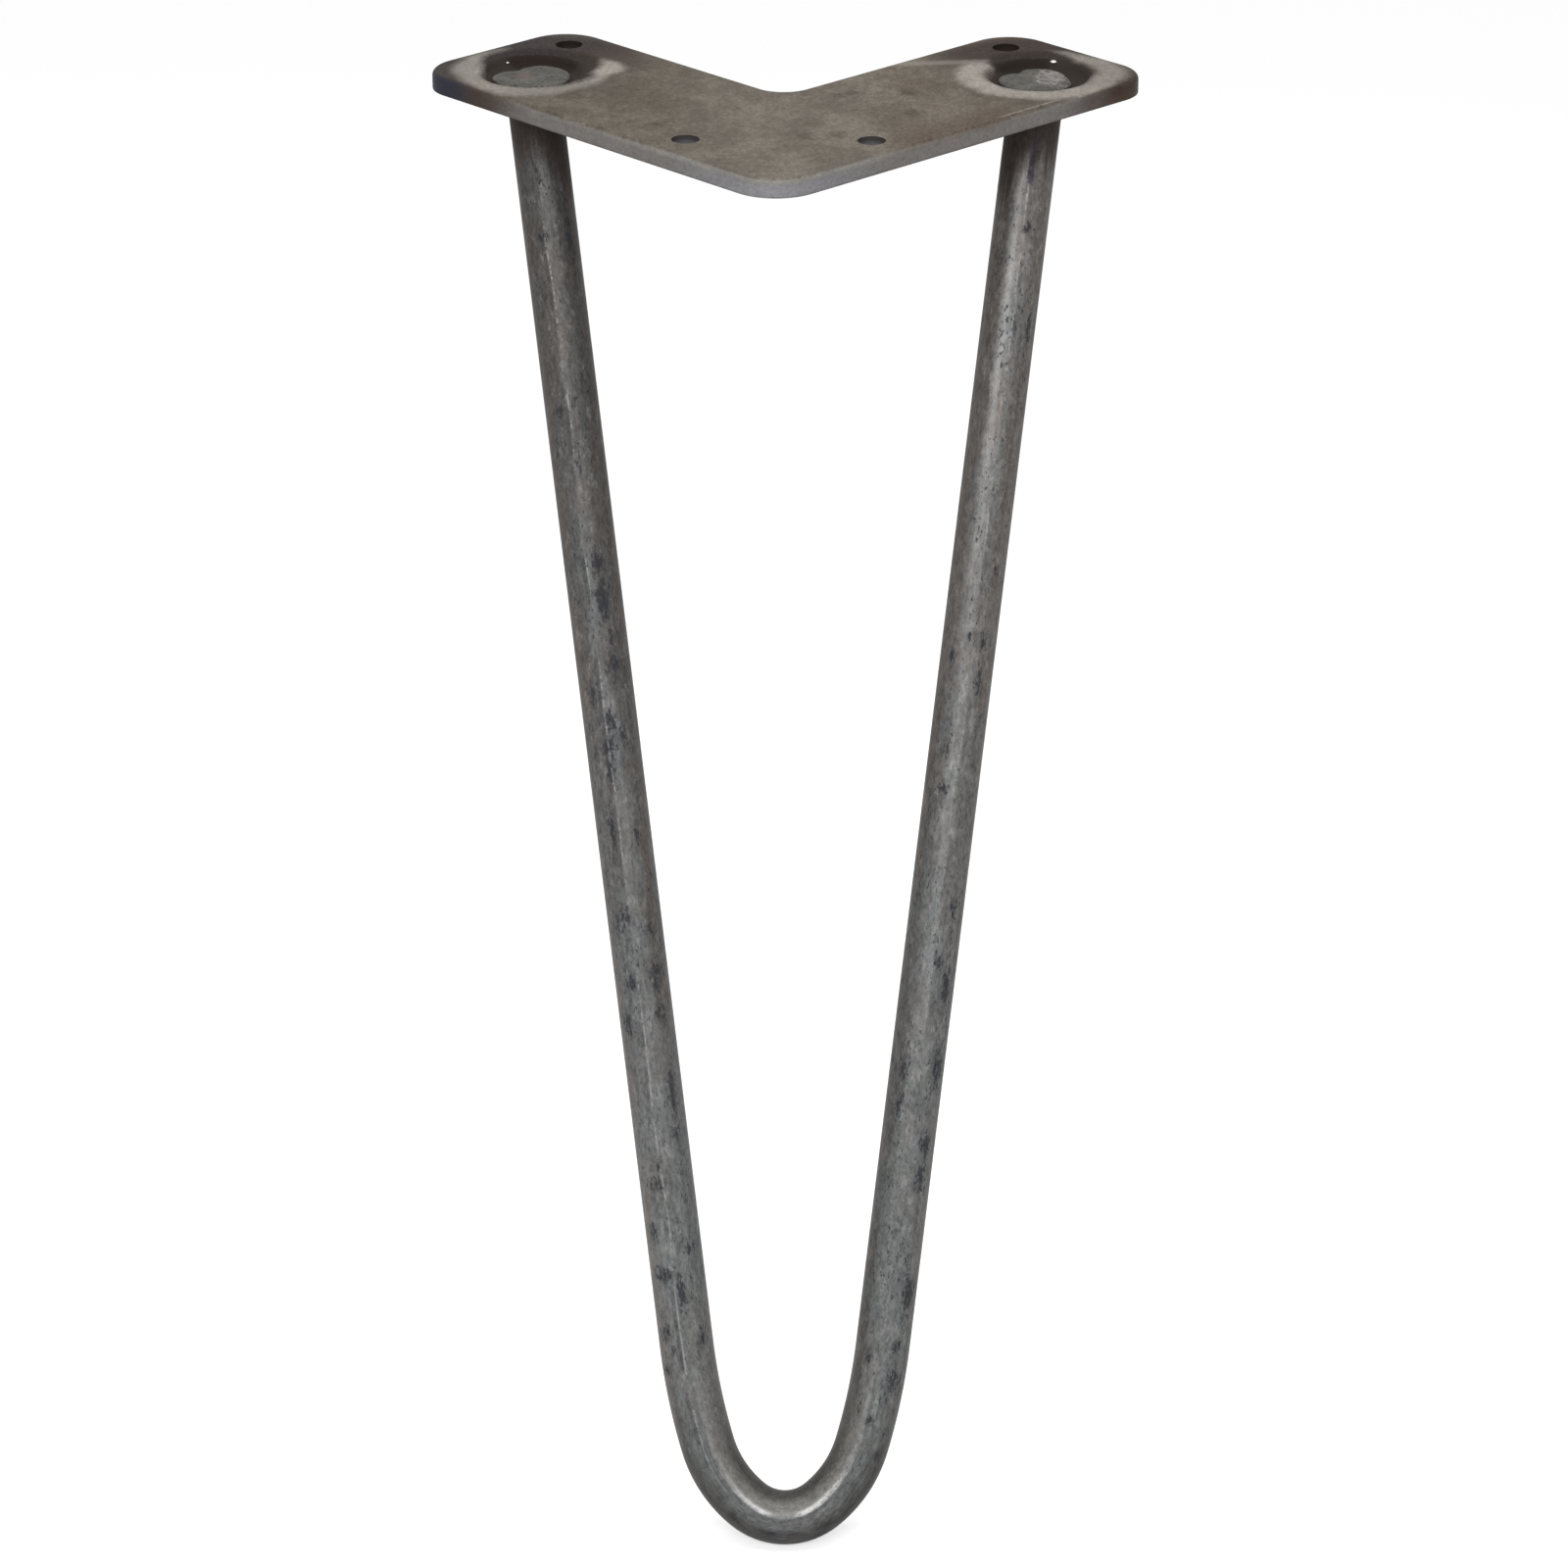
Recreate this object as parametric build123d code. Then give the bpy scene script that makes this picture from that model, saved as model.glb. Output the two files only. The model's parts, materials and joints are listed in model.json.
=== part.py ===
from build123d import *
import math
import os

# Two-rod hairpin table leg: one round bar, bent at the foot, plug-welded into a V-shaped mounting plate.
# Millimetres, +Z up. The origin lies on the plate's top face, midway between the two front screw holes.
# The plate's corner points along -Y, its arms open towards +Y, and the bar leans to -Y on its way down.

# Stance of the leg
leg_height = 305.0  # top face of the plate to the floor
foot_reach = 32.0  # from the plate's corner forward to the middle of the foot
foot_offset = 2.7  # from the plate's middle line sideways to the middle of the foot

# Mounting plate
arm_spread = 90.0  # angle between the two arms, in degrees
arm_length = 115.5  # outer edge, measured from the sharp corner
arm_width = 45.5
plate_thickness = 4.0
outer_corner_r = 10.5
notch_corner_r = 6.5
end_corner_r = 10.0
edge_roll_r = 1.2  # soft top edge left by the shearing tool

# Screw holes, placed along each arm and in from its edges
screw_hole_d = 6.0
front_hole_along = 36.5  # from the sharp corner
front_hole_inset = 8.6  # from the outer edge
back_hole_end_inset = 10.1  # from the arm's end
back_hole_inset = 8.8  # from the inner edge

# Weld seats: a shallow dish in the top face round each end of the bar
seat_end_inset = 19.6  # from the arm's end
seat_edge_inset = 17.4  # from the outer edge
seat_depth = 1.7
seat_ledge = 2.5  # flat floor left round the bar's hole
seat_wall = 3.2  # width of the dish's curved wall

# Plug welds
weld_recess = 1.0  # top of the weld below the plate's face
weld_margin = 0.4  # edge of the weld to the foot of the dish's wall
weld_crown = 0.25  # rise of the weld's top from its edge to its middle
weld_bay_depth = 1.2  # how far the shallow bay in the outline reaches in
weld_bay_r = 14.0
weld_bay_round = 3.0  # rounding where the bay runs out into the outline
weld_bay_angle = 125.0  # where the bay lies, in degrees from +X towards +Y

# Bar and its bend, as radii and turns of the bar's axis
bar_d = 12.0
bar_clearance = 0.2  # bar to the wall of its hole
toe_r = 12.9
toe_turn = 38.9  # to each side of the foot, in degrees
shoulder_r = 27.2
flare_r = 135.0
flare_turn = 9.8  # slow last turn into the straight, in degrees

# Worked-out places
bar_r = bar_d / 2
half_spread = math.radians(arm_spread / 2)
corner_y = -front_hole_along * math.cos(half_spread) - front_hole_inset * math.sin(half_spread)
notch_y = corner_y + arm_width / math.sin(half_spread)
weld_height = seat_depth - weld_recess


def on_arm(side, along, inset, z=0.0):
    """Point on an arm: side is +1 or -1, along from the sharp corner, inset from the outer edge."""
    x = along * math.sin(half_spread) - inset * math.cos(half_spread)
    y = along * math.cos(half_spread) + inset * math.sin(half_spread)
    return Vector(side * x, corner_y + y, z)


def seat_centre(side):
    """Middle of a weld seat's floor, where the bar's axis ends."""
    return on_arm(side, arm_length - seat_end_inset, seat_edge_inset, -seat_depth)


# The bar lies in one leaning plane, through both seats and the foot
foot_centre = Vector(foot_offset, corner_y - foot_reach, bar_r - leg_height)
seat_middle = (seat_centre(1) + seat_centre(-1)) * 0.5
rise_dir = (seat_middle - foot_centre).normalized()
bar_plane = Plane(origin=foot_centre, x_dir=Vector(1, 0, 0) - rise_dir * rise_dir.X,
                  z_dir=Vector(1, 0, 0).cross(rise_dir))


def straight_angle(side):
    """Angle of a straight leg above the foot's tangent, in degrees, that brings it to its seat."""
    seat = bar_plane.to_local_coords(seat_centre(side))
    turn = math.radians(toe_turn)
    shoulder_x = (toe_r - shoulder_r) * math.sin(turn)
    shoulder_y = toe_r - (toe_r - shoulder_r) * math.cos(turn)
    across = side * seat.X - shoulder_x
    up = seat.Y - shoulder_y
    offset = flare_r - (flare_r - shoulder_r) * math.cos(math.radians(flare_turn))
    return math.degrees(math.atan2(up, across) + math.asin(offset / math.hypot(across, up)))


def leg_lines(side):
    """Toe, shoulder, flare and straight of one leg, from the foot up to its seat and past the plate."""
    shoulder_turn = straight_angle(side) - toe_turn - flare_turn
    toe = JernArc((0, 0), (side, 0), toe_r, side * toe_turn)
    shoulder = JernArc(toe @ 1, toe % 1, shoulder_r, side * shoulder_turn)
    flare = JernArc(shoulder @ 1, shoulder % 1, flare_r, side * flare_turn)
    seat = bar_plane.to_local_coords(seat_centre(side))
    straight = Line(flare @ 1, seat + (flare % 1) * (plate_thickness + bar_d))
    return [toe, shoulder, flare, straight]


def bar_axis():
    """The bar's whole axis, from above the left seat round the foot to above the right seat."""
    return Wire([bar_plane * line for side in (-1, 1) for line in leg_lines(side)])


def make_bar():
    """The bent bar, with both ends cut level with the seats' floors."""
    axis = bar_axis()
    bar = sweep(Plane(axis ^ 0) * Circle(bar_r), path=axis)
    return split(bar, bisect_by=Plane.XY.offset(-seat_depth), keep=Keep.BOTTOM)


def leg_direction(side):
    """Direction in which a straight leg runs up through its seat."""
    angle = math.radians(straight_angle(side))
    local = Vector(side * math.cos(angle), math.sin(angle), 0)
    return bar_plane.x_dir * local.X + bar_plane.y_dir * local.Y


def bar_hole(side):
    """Slanted hole for one end of the bar."""
    direction = leg_direction(side)
    length = 2 * (plate_thickness + bar_d) / direction.Z
    return Plane(origin=seat_centre(side), z_dir=direction) * Cylinder(bar_r + bar_clearance, length)


def seat_floor_r(side):
    """Radius of a seat's flat floor: the slanted hole's long half, and the ledge round it."""
    return (bar_r + bar_clearance) / leg_direction(side).Z + seat_ledge


def seat_dish(side):
    """Shallow dish, its wall two equal arcs that run level into the floor and into the top face."""
    floor_r = seat_floor_r(side)
    rim_r = floor_r + seat_wall
    centre = seat_centre(side)
    floor_end = (floor_r, -seat_depth)
    mid_wall = (floor_r + seat_wall / 2, -seat_depth / 2)
    lower = TangentArc(floor_end, mid_wall, tangent=(1, 0))
    upper = TangentArc((rim_r, 0), mid_wall, tangent=(-1, 0))
    lid = Polyline((rim_r, 0), (rim_r, seat_depth), (0, seat_depth), (0, -seat_depth), floor_end)
    profile = make_face(Plane.XZ * (lower + upper + lid))
    return Pos(centre.X, centre.Y, 0) * revolve(profile, Axis.Z)


def make_plate():
    """V-shaped plate with rounded corners, soft top edge, screw holes and weld seats."""
    corner = Vector(0, corner_y)
    notch = Vector(0, notch_y)
    tips = [on_arm(side, arm_length, inset) for side in (-1, 1) for inset in (0, arm_width)]
    left_outer, left_inner, right_outer, right_inner = tips
    sheet = make_face(Polyline(corner, right_outer, right_inner, notch, left_inner, left_outer, close=True))
    rounds = [(corner, outer_corner_r), (notch, notch_corner_r)] + [(tip, end_corner_r) for tip in tips]
    for place, radius in rounds:
        sheet = fillet(sheet.vertices().sort_by_distance(place)[0], radius)
    plate = extrude(sheet, plate_thickness, dir=(0, 0, -1))
    plate = fillet(plate.edges().group_by(Axis.Z)[-1], edge_roll_r)
    screw_hole = Cylinder(screw_hole_d / 2, 3 * plate_thickness)
    for side in (-1, 1):
        front = on_arm(side, front_hole_along, front_hole_inset)
        back = on_arm(side, arm_length - back_hole_end_inset, arm_width - back_hole_inset)
        plate -= Pos(front) * screw_hole
        plate -= Pos(back) * screw_hole
        plate -= seat_dish(side)
        plate -= bar_hole(side)
    return plate


def weld_outline(radius):
    """Closed outline of a weld: a circle with one shallow bay at the back left."""
    bay = Pos(radius - weld_bay_depth + weld_bay_r, 0) * Circle(weld_bay_r)
    outline = Circle(radius) - bay
    return Rotation(0, 0, weld_bay_angle) * fillet(outline.vertices(), weld_bay_round)


def make_weld(side):
    """Plug weld on a seat's floor: a low crowned button."""
    radius = seat_floor_r(side) - weld_margin
    button = extrude(weld_outline(radius), weld_height)
    crown_r = (radius ** 2 + weld_crown ** 2) / (2 * weld_crown)
    crown = Rotation(90, 0, 0) * Sphere(crown_r)  # poles to the sides, clear of the weld's top
    button &= Pos(0, 0, weld_height - crown_r) * crown
    return Pos(seat_centre(side)) * button


pieces = {
    "mounting_plate": make_plate(),
    "hairpin_rod": make_bar(),
    "left_weld": make_weld(-1),
    "right_weld": make_weld(1),
}
os.makedirs("parts", exist_ok=True)
for name, piece in pieces.items():
    export_step(piece, f"parts/{name}.step")
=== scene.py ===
"""Looks of a two-rod hairpin table leg in raw steel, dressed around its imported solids.

Sizes are in metres, in the frame of the solids: +Z up, with the origin on the plate's top face.
Marks on the steel are placed and scaled in millimetres.
"""

import json
import logging
import math
import random
from dataclasses import dataclass
from enum import Enum
from typing import Any, Mapping, Optional, Sequence, Union

import bmesh
import bpy
import numpy as np
from mathutils import Matrix, Vector, noise

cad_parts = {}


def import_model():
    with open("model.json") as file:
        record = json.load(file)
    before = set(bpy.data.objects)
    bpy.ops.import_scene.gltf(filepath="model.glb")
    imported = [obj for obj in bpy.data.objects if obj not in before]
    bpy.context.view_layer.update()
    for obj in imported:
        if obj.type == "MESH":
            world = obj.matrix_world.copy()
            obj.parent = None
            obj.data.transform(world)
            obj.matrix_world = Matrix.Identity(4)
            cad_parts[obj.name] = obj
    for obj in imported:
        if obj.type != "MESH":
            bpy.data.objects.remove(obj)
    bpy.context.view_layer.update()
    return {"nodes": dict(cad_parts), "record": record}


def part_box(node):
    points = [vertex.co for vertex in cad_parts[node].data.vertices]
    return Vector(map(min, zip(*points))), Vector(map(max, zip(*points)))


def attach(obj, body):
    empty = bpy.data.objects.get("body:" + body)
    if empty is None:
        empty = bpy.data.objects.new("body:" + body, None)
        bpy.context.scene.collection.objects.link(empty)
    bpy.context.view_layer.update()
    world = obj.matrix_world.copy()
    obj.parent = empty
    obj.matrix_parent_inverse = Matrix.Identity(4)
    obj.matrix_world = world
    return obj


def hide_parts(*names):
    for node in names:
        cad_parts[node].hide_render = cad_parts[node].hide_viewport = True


LOG = logging.getLogger("hairpin_leg")
BODY = "root"
MM = 0.001
PER_METRE = 1.0 / MM
DIAGONAL = math.sqrt(0.5)
BASE = "base"
BLACK = (0.0, 0.0, 0.0)

Colour = tuple[float, float, float]
Step = tuple[float, float]
Shares = tuple[tuple[str, float], ...]
Key = Union[str, int]


class Slot(Enum):
    """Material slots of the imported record."""

    PLATE = "plate_steel"
    BAR = "bar_steel"
    WELD = "weld_metal"


class Side(Enum):
    """The two arms of the plate, by the sign of their X."""

    LEFT = -1
    RIGHT = 1


@dataclass(frozen=True)
class Grain:
    """One layer of noise on the steel.

    Attributes:
        scale: features for each millimetre.
        seed: picks the pattern.
        drawn: how many times longer the features are in the direction of rolling.
        detail: octaves of finer features.
        roughness: weight of the finer features.
        spread: the values that mottled noise draws apart to 0 and 1.
    """

    scale: float
    seed: float
    drawn: float = 1.0
    detail: float = 3.0
    roughness: float = 0.6
    spread: Step = (0.32, 0.68)


@dataclass(frozen=True)
class Band:
    """A soft band along a line, or a soft gap where its core lies further out than its edge.

    Attributes:
        middle: where the line lies.
        edge: how far from it the band ends.
        core: how far from it the band is full.
    """

    middle: float
    edge: float
    core: float


@dataclass(frozen=True)
class Part:
    """One factor of a layer.

    Attributes:
        source: the layer it is worked out from, or the shares of several that add up.
        shape: a band of it, or where a soft step of it starts and where that is complete.
    """

    source: Union[str, Shares]
    shape: Union[Step, Band, None] = None


def mix(shape: Union[Step, Band, None] = None, **shares: float) -> Part:
    """A part that adds up several layers.

    Args:
        shape: as in any part.
        shares: how much of each layer goes in. The share called base is a plain number.

    Returns:
        The part.
    """
    return Part(tuple(shares.items()), shape)


class Layer:
    """A named value over the steel, worked out as the product of its parts."""

    def __init__(self, name: str, *parts: Union[str, Part]) -> None:
        """Takes the layer's name and its parts, of which a plain name stands for a whole layer."""
        self.name = name
        self.parts = [Part(part) if isinstance(part, str) else part for part in parts]


@dataclass(frozen=True)
class Coat:
    """A colour that lies over the steel.

    Attributes:
        layer: the layer that says where it lies.
        colour: its colour.
        cover: how much of the steel it hides where it is full.
        tone: what its colour is multiplied by, or nothing where it is even.
    """

    layer: str
    colour: Colour
    cover: float = 1.0
    tone: Optional[Part] = None


class Wire:
    """One output socket that takes part in Python expressions, with a Math node for each operator."""

    def __init__(self, nodes: "Nodes", socket: bpy.types.NodeSocket) -> None:
        """Keeps a socket with the builder of its tree."""
        self.nodes = nodes
        self.socket = socket

    def __add__(self, other: "Number") -> "Wire":
        """Sum."""
        return self.nodes.math("ADD", self, other)

    def __radd__(self, other: "Number") -> "Wire":
        """Sum, with the number first."""
        return self.nodes.math("ADD", other, self)

    def __sub__(self, other: "Number") -> "Wire":
        """Difference."""
        return self.nodes.math("SUBTRACT", self, other)

    def __rsub__(self, other: "Number") -> "Wire":
        """Difference, with the number first."""
        return self.nodes.math("SUBTRACT", other, self)

    def __mul__(self, other: "Number") -> "Wire":
        """Product."""
        return self.nodes.math("MULTIPLY", self, other)

    def __rmul__(self, other: "Number") -> "Wire":
        """Product, with the number first."""
        return self.nodes.math("MULTIPLY", other, self)

    def __truediv__(self, other: "Number") -> "Wire":
        """Quotient."""
        return self.nodes.math("DIVIDE", self, other)

    def __pow__(self, other: "Number") -> "Wire":
        """Power."""
        return self.nodes.math("POWER", self, other)

    def __neg__(self) -> "Wire":
        """The value with its sign turned."""
        return self.nodes.math("MULTIPLY", self, -1.0)

    def __abs__(self) -> "Wire":
        """The value without its sign."""
        return self.nodes.math("ABSOLUTE", self)

    def rise(self, step: Step) -> "Wire":
        """Soft step of the value.

        Args:
            step: where it leaves 0 and where it reaches 1, in either order.

        Returns:
            A value from 0 to 1.
        """
        low, high = sorted(step)
        sockets = {"Value": self, "From Min": low, "From Max": high}
        made = self.nodes.node("ShaderNodeMapRange", {"interpolation_type": "SMOOTHSTEP"}, sockets)
        risen = self.nodes.out(made)
        return risen if step[0] == low else 1.0 - risen

    def band(self, band: Band) -> "Wire":
        """1 in a soft band of the value, 0 outside it."""
        return abs(self - band.middle).rise((band.edge, band.core))


Number = Union[float, Wire]


class Nodes:
    """Builds the nodes of one tree: a material's, the world's or a Geometry Nodes group's."""

    def __init__(self, tree: bpy.types.NodeTree) -> None:
        """Takes the tree to build in."""
        self.tree = tree

    def join(self, value: Any, socket: bpy.types.NodeSocket) -> None:
        """Links a wire to an input, or sets the input to a plain value.

        Args:
            value: a wire, or a value of the socket's own kind.
            socket: the input to feed.
        """
        if isinstance(value, Wire):
            self.tree.links.new(value.socket, socket)
        else:
            socket.default_value = (*value, 1.0) if socket.type == "RGBA" else value

    def node(
        self,
        kind: str,
        settings: Optional[Mapping[str, Any]] = None,
        sockets: Optional[Mapping[Key, Any]] = None,
    ) -> bpy.types.Node:
        """Adds one node.

        Args:
            kind: the node's type.
            settings: its properties, set before its sockets.
            sockets: values or wires of its inputs, by name or index.

        Returns:
            The new node.
        """
        made = self.tree.nodes.new(kind)
        for name, value in (settings or {}).items():
            setattr(made, name, value)
        for key, value in (sockets or {}).items():
            self.join(value, made.inputs[key])
        return made

    def out(self, made: bpy.types.Node, key: Key = 0) -> Wire:
        """Wraps one output of a node."""
        return Wire(self, made.outputs[key])

    def math(self, operation: str, *values: Number) -> Wire:
        """Adds a Math node.

        Args:
            operation: its operation.
            values: its inputs, in order.

        Returns:
            Its result.
        """
        return self.out(self.node("ShaderNodeMath", {"operation": operation}, dict(enumerate(values))))

    def vector(self, operation: str, *values: Any, result: Key = "Vector") -> Wire:
        """Adds a Vector Math node.

        Args:
            operation: its operation.
            values: its vector inputs, in order.
            result: the output to return.

        Returns:
            That output.
        """
        made = self.node("ShaderNodeVectorMath", {"operation": operation}, dict(enumerate(values)))
        return self.out(made, result)

    def scaled(self, value: Any, factor: Number) -> Wire:
        """A vector or colour times one number."""
        made = self.node("ShaderNodeVectorMath", {"operation": "SCALE"}, {0: value, "Scale": factor})
        return self.out(made, "Vector")

    def combined(self, x: Number, y: Number, z: Number) -> Wire:
        """A vector from its three parts."""
        return self.out(self.node("ShaderNodeCombineXYZ", None, {"X": x, "Y": y, "Z": z}))

    def parts(self, value: Wire) -> tuple[Wire, Wire, Wire]:
        """The three parts of a vector."""
        made = self.node("ShaderNodeSeparateXYZ", None, {0: value})
        return self.out(made, "X"), self.out(made, "Y"), self.out(made, "Z")

    def noise(self, place: Wire, grain: Grain) -> Wire:
        """Soft noise about 0.5.

        Args:
            place: where to read it, in millimetres.
            grain: its layer.

        Returns:
            The noise's value.
        """
        sockets = {
            "Vector": place,
            "W": grain.seed,
            "Scale": grain.scale,
            "Detail": grain.detail,
            "Roughness": grain.roughness,
        }
        return self.out(self.node("ShaderNodeTexNoise", {"noise_dimensions": "4D"}, sockets))

    def mottle(self, place: Wire, grain: Grain) -> Wire:
        """Noise spread over the whole way from 0 to 1, read as in noise()."""
        return self.noise(place, grain).rise(grain.spread)

    def distance(self, first: Wire, second: Any) -> Wire:
        """How far two places lie apart."""
        return self.vector("DISTANCE", first, second, result="Value")

    def blend(self, factor: Number, first: Any, second: Any) -> Wire:
        """Mix of two colours.

        Args:
            factor: 0 for the first colour, 1 for the second.
            first: a colour or wire.
            second: a colour or wire.

        Returns:
            The mixed colour.
        """
        made = self.node("ShaderNodeMix", {"data_type": "RGBA"}, {0: factor, 6: first, 7: second})
        return self.out(made, 2)

    def most(self, *values: Wire) -> Wire:
        """The largest of several values.

        Args:
            values: the values.

        Returns:
            The largest at each point.
        """
        top = values[0]
        for value in values[1:]:
            top = self.math("MAXIMUM", top, value)
        return top


class Finish:
    """A new steel material: its shader, and the named layers that its looks are worked out from."""

    def __init__(self, name: str, specular: float, edge_tint: float = 1.0) -> None:
        """Makes a material.

        Args:
            name: the material's name.
            specular: the shader's specular level.
            edge_tint: how much of the white surroundings shows at a glancing angle.
        """
        self.material = bpy.data.materials.new(name)
        self.material.use_nodes = True
        self.nodes = Nodes(self.material.node_tree)
        self.shader = self.material.node_tree.nodes["Principled BSDF"]
        self.shader.inputs["Specular IOR Level"].default_value = specular
        self.shader.inputs["Specular Tint"].default_value = (edge_tint, edge_tint, edge_tint, 1.0)
        self.layers: dict[str, Number] = {}

    def place_mm(self) -> Wire:
        """The point on the piece, in millimetres."""
        coordinates = self.nodes.node("ShaderNodeTexCoord")
        return self.nodes.scaled(self.nodes.out(coordinates, "Object"), PER_METRE)

    def attribute(self, name: str, key: str) -> Wire:
        """An attribute of the piece's own mesh."""
        return self.nodes.out(self.nodes.node("ShaderNodeAttribute", {"attribute_name": name}), key)

    def value(self, part: Part) -> Number:
        """Works out one factor of a layer.

        Args:
            part: the factor.

        Returns:
            Its value, which is a plain number where it holds no layer.
        """
        if isinstance(part.source, str):
            value = self.layers[part.source]
        else:
            value = sum(share if name == BASE else self.layers[name] * share for name, share in part.source)
        if part.shape is None:
            return value
        return value.band(part.shape) if isinstance(part.shape, Band) else value.rise(part.shape)

    def lay(self, layers: Sequence[Layer]) -> None:
        """Adds layers, each of which may be worked out from those before it."""
        for layer in layers:
            self.layers[layer.name] = math.prod(self.value(part) for part in layer.parts)

    def ground(self, first: Colour, second: Colour) -> Wire:
        """The bare steel: two colours blended by the layer tint, times the layer light."""
        return self.nodes.scaled(self.nodes.blend(self.layers["tint"], first, second), self.layers["light"])

    def coated(self, colour: Any, *coats: Coat) -> Wire:
        """Lays coats over a colour.

        Args:
            colour: the colour below.
            coats: the coats, from the lowest up.

        Returns:
            The colour that shows.
        """
        for coat in coats:
            above = self.nodes.scaled(coat.colour, self.value(coat.tone)) if coat.tone else coat.colour
            colour = self.nodes.blend(self.layers[coat.layer] * coat.cover, colour, above)
        return colour

    def finish(self, colour: Wire, depth: float) -> bpy.types.Material:
        """Feeds the shader with a colour and with the layers roughness, metallic and relief.

        Args:
            colour: base colour over the surface.
            depth: depth of the relief.

        Returns:
            The finished material.
        """
        relief = {"Strength": 1.0, "Distance": depth, "Height": self.layers["relief"]}
        bump = self.nodes.node("ShaderNodeBump", None, relief)
        feeds = {
            "Base Color": colour,
            "Roughness": self.layers["roughness"],
            "Metallic": self.layers["metallic"],
            "Normal": self.nodes.out(bump),
        }
        for name, value in feeds.items():
            self.nodes.join(value, self.shader.inputs[name])
        return self.material


class GeometryTree:
    """A Geometry Nodes group with named inputs that runs once on a host mesh."""

    KINDS = {
        float: "NodeSocketFloat",
        int: "NodeSocketInt",
        Vector: "NodeSocketVector",
        bpy.types.Material: "NodeSocketMaterial",
    }

    def __init__(self, name: str, values: Mapping[str, Any]) -> None:
        """Opens the group.

        Args:
            name: the group's name.
            values: value of each named input. Material is one of them, and Geometry is added.
        """
        self.group = bpy.data.node_groups.new(name, "GeometryNodeTree")
        self.nodes = Nodes(self.group)
        self.values = values
        face = self.group.interface
        for way in ("OUTPUT", "INPUT"):
            face.new_socket(name="Geometry", in_out=way, socket_type="NodeSocketGeometry")
        self.sockets = {
            label: face.new_socket(name=label, in_out="INPUT", socket_type=self.KINDS[type(value)])
            for label, value in values.items()
        }
        entry = self.nodes.node("NodeGroupInput")
        self.inputs = {label: self.nodes.out(entry, label) for label in ("Geometry", *values)}

    def named(self, name: str, kind: str) -> Wire:
        """A named attribute of the geometry."""
        made = self.nodes.node("GeometryNodeInputNamedAttribute", {"data_type": kind}, {"Name": name})
        return self.nodes.out(made)

    def close(self, geometry: Wire) -> None:
        """Ends the group in real geometry with its material.

        Args:
            geometry: what the group made.
        """
        real = self.nodes.node("GeometryNodeRealizeInstances", None, {"Geometry": geometry})
        sockets = {"Geometry": self.nodes.out(real), "Material": self.inputs["Material"]}
        dressed = self.nodes.node("GeometryNodeSetMaterial", None, sockets)
        self.nodes.node("NodeGroupOutput", None, {"Geometry": self.nodes.out(dressed)})

    def run(self, name: str, host_mesh: bpy.types.Mesh) -> bpy.types.Object:
        """Runs the group on a host mesh.

        Args:
            name: name of the piece.
            host_mesh: the mesh that the group starts from.

        Returns:
            A plain mesh object.
        """
        host = bpy.data.objects.new(f"{name}_host", host_mesh)
        bpy.context.scene.collection.objects.link(host)
        modifier = host.modifiers.new(self.group.name, "NODES")
        modifier.node_group = self.group
        for label, value in self.values.items():
            modifier[self.sockets[label].identifier] = value
        depsgraph = bpy.context.evaluated_depsgraph_get()
        made = bpy.data.meshes.new_from_object(host.evaluated_get(depsgraph), depsgraph=depsgraph)
        bpy.data.objects.remove(host)
        return new_piece(name, made)


def new_piece(name: str, mesh: bpy.types.Mesh) -> bpy.types.Object:
    """Puts a mesh into the scene.

    Args:
        name: name of the piece.
        mesh: its mesh, already in place.

    Returns:
        The new object, at the origin.
    """
    mesh.name = name
    piece = bpy.data.objects.new(name, mesh)
    bpy.context.scene.collection.objects.link(piece)
    return piece


@dataclass(frozen=True)
class ScalePatch:
    """A dark patch of mill scale on the front of the bar.

    Attributes:
        down: millimetres along the leg, from its seat.
        out: share of the bar's half width, towards the outside of the bend.
        length: millimetres along the bar.
        width: millimetres round the bar.
    """

    down: float
    out: float
    length: float
    width: float


# Patches that show on each leg, as rows of ScalePatch's fields
LEFT_PATCHES = (
    (21, 0.2, 4, 1.3), (35, 0.2, 1.6, 2.6), (36, -0.7, 9, 1.8), (73, 0.4, 1.5, 1.3), (107, -0.3, 5, 1.8),
    (115, -0.35, 7, 2.4), (124, -0.45, 3, 1.4), (130, -0.4, 6, 2.4), (136, 0.45, 4, 2.2), (142, 0, 4, 2.2),
    (147, 0.1, 3, 2.4), (153, 0.15, 5, 2.2), (145, -0.5, 4, 1.5), (168, -0.5, 3, 1.5), (166, 0.35, 9, 1),
    (185, 0.3, 4, 2.6), (188, -0.55, 4, 1.7), (199, -0.6, 6, 2.6), (207, -0.6, 4, 2.6), (200, 0.35, 2, 2.2),
    (209, 0.65, 4, 2.2), (224, -0.65, 8, 1.3), (234, -0.55, 2, 1.7), (241, 0.2, 3.5, 1.7), (245, 0.3, 3.5, 4),
    (255, 0.7, 3, 1.4), (260, -0.55, 2, 1.7), (265, 0.5, 3, 4), (269, -0.1, 7, 1.7), (278, 0.65, 4, 3),
    (282, 0.45, 3, 1.7), (280, -0.65, 5, 1.1), (286, 0.8, 2.5, 2.2), (320, 0.6, 3, 1.4), (327, 0.5, 4, 1.3),
)
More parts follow.
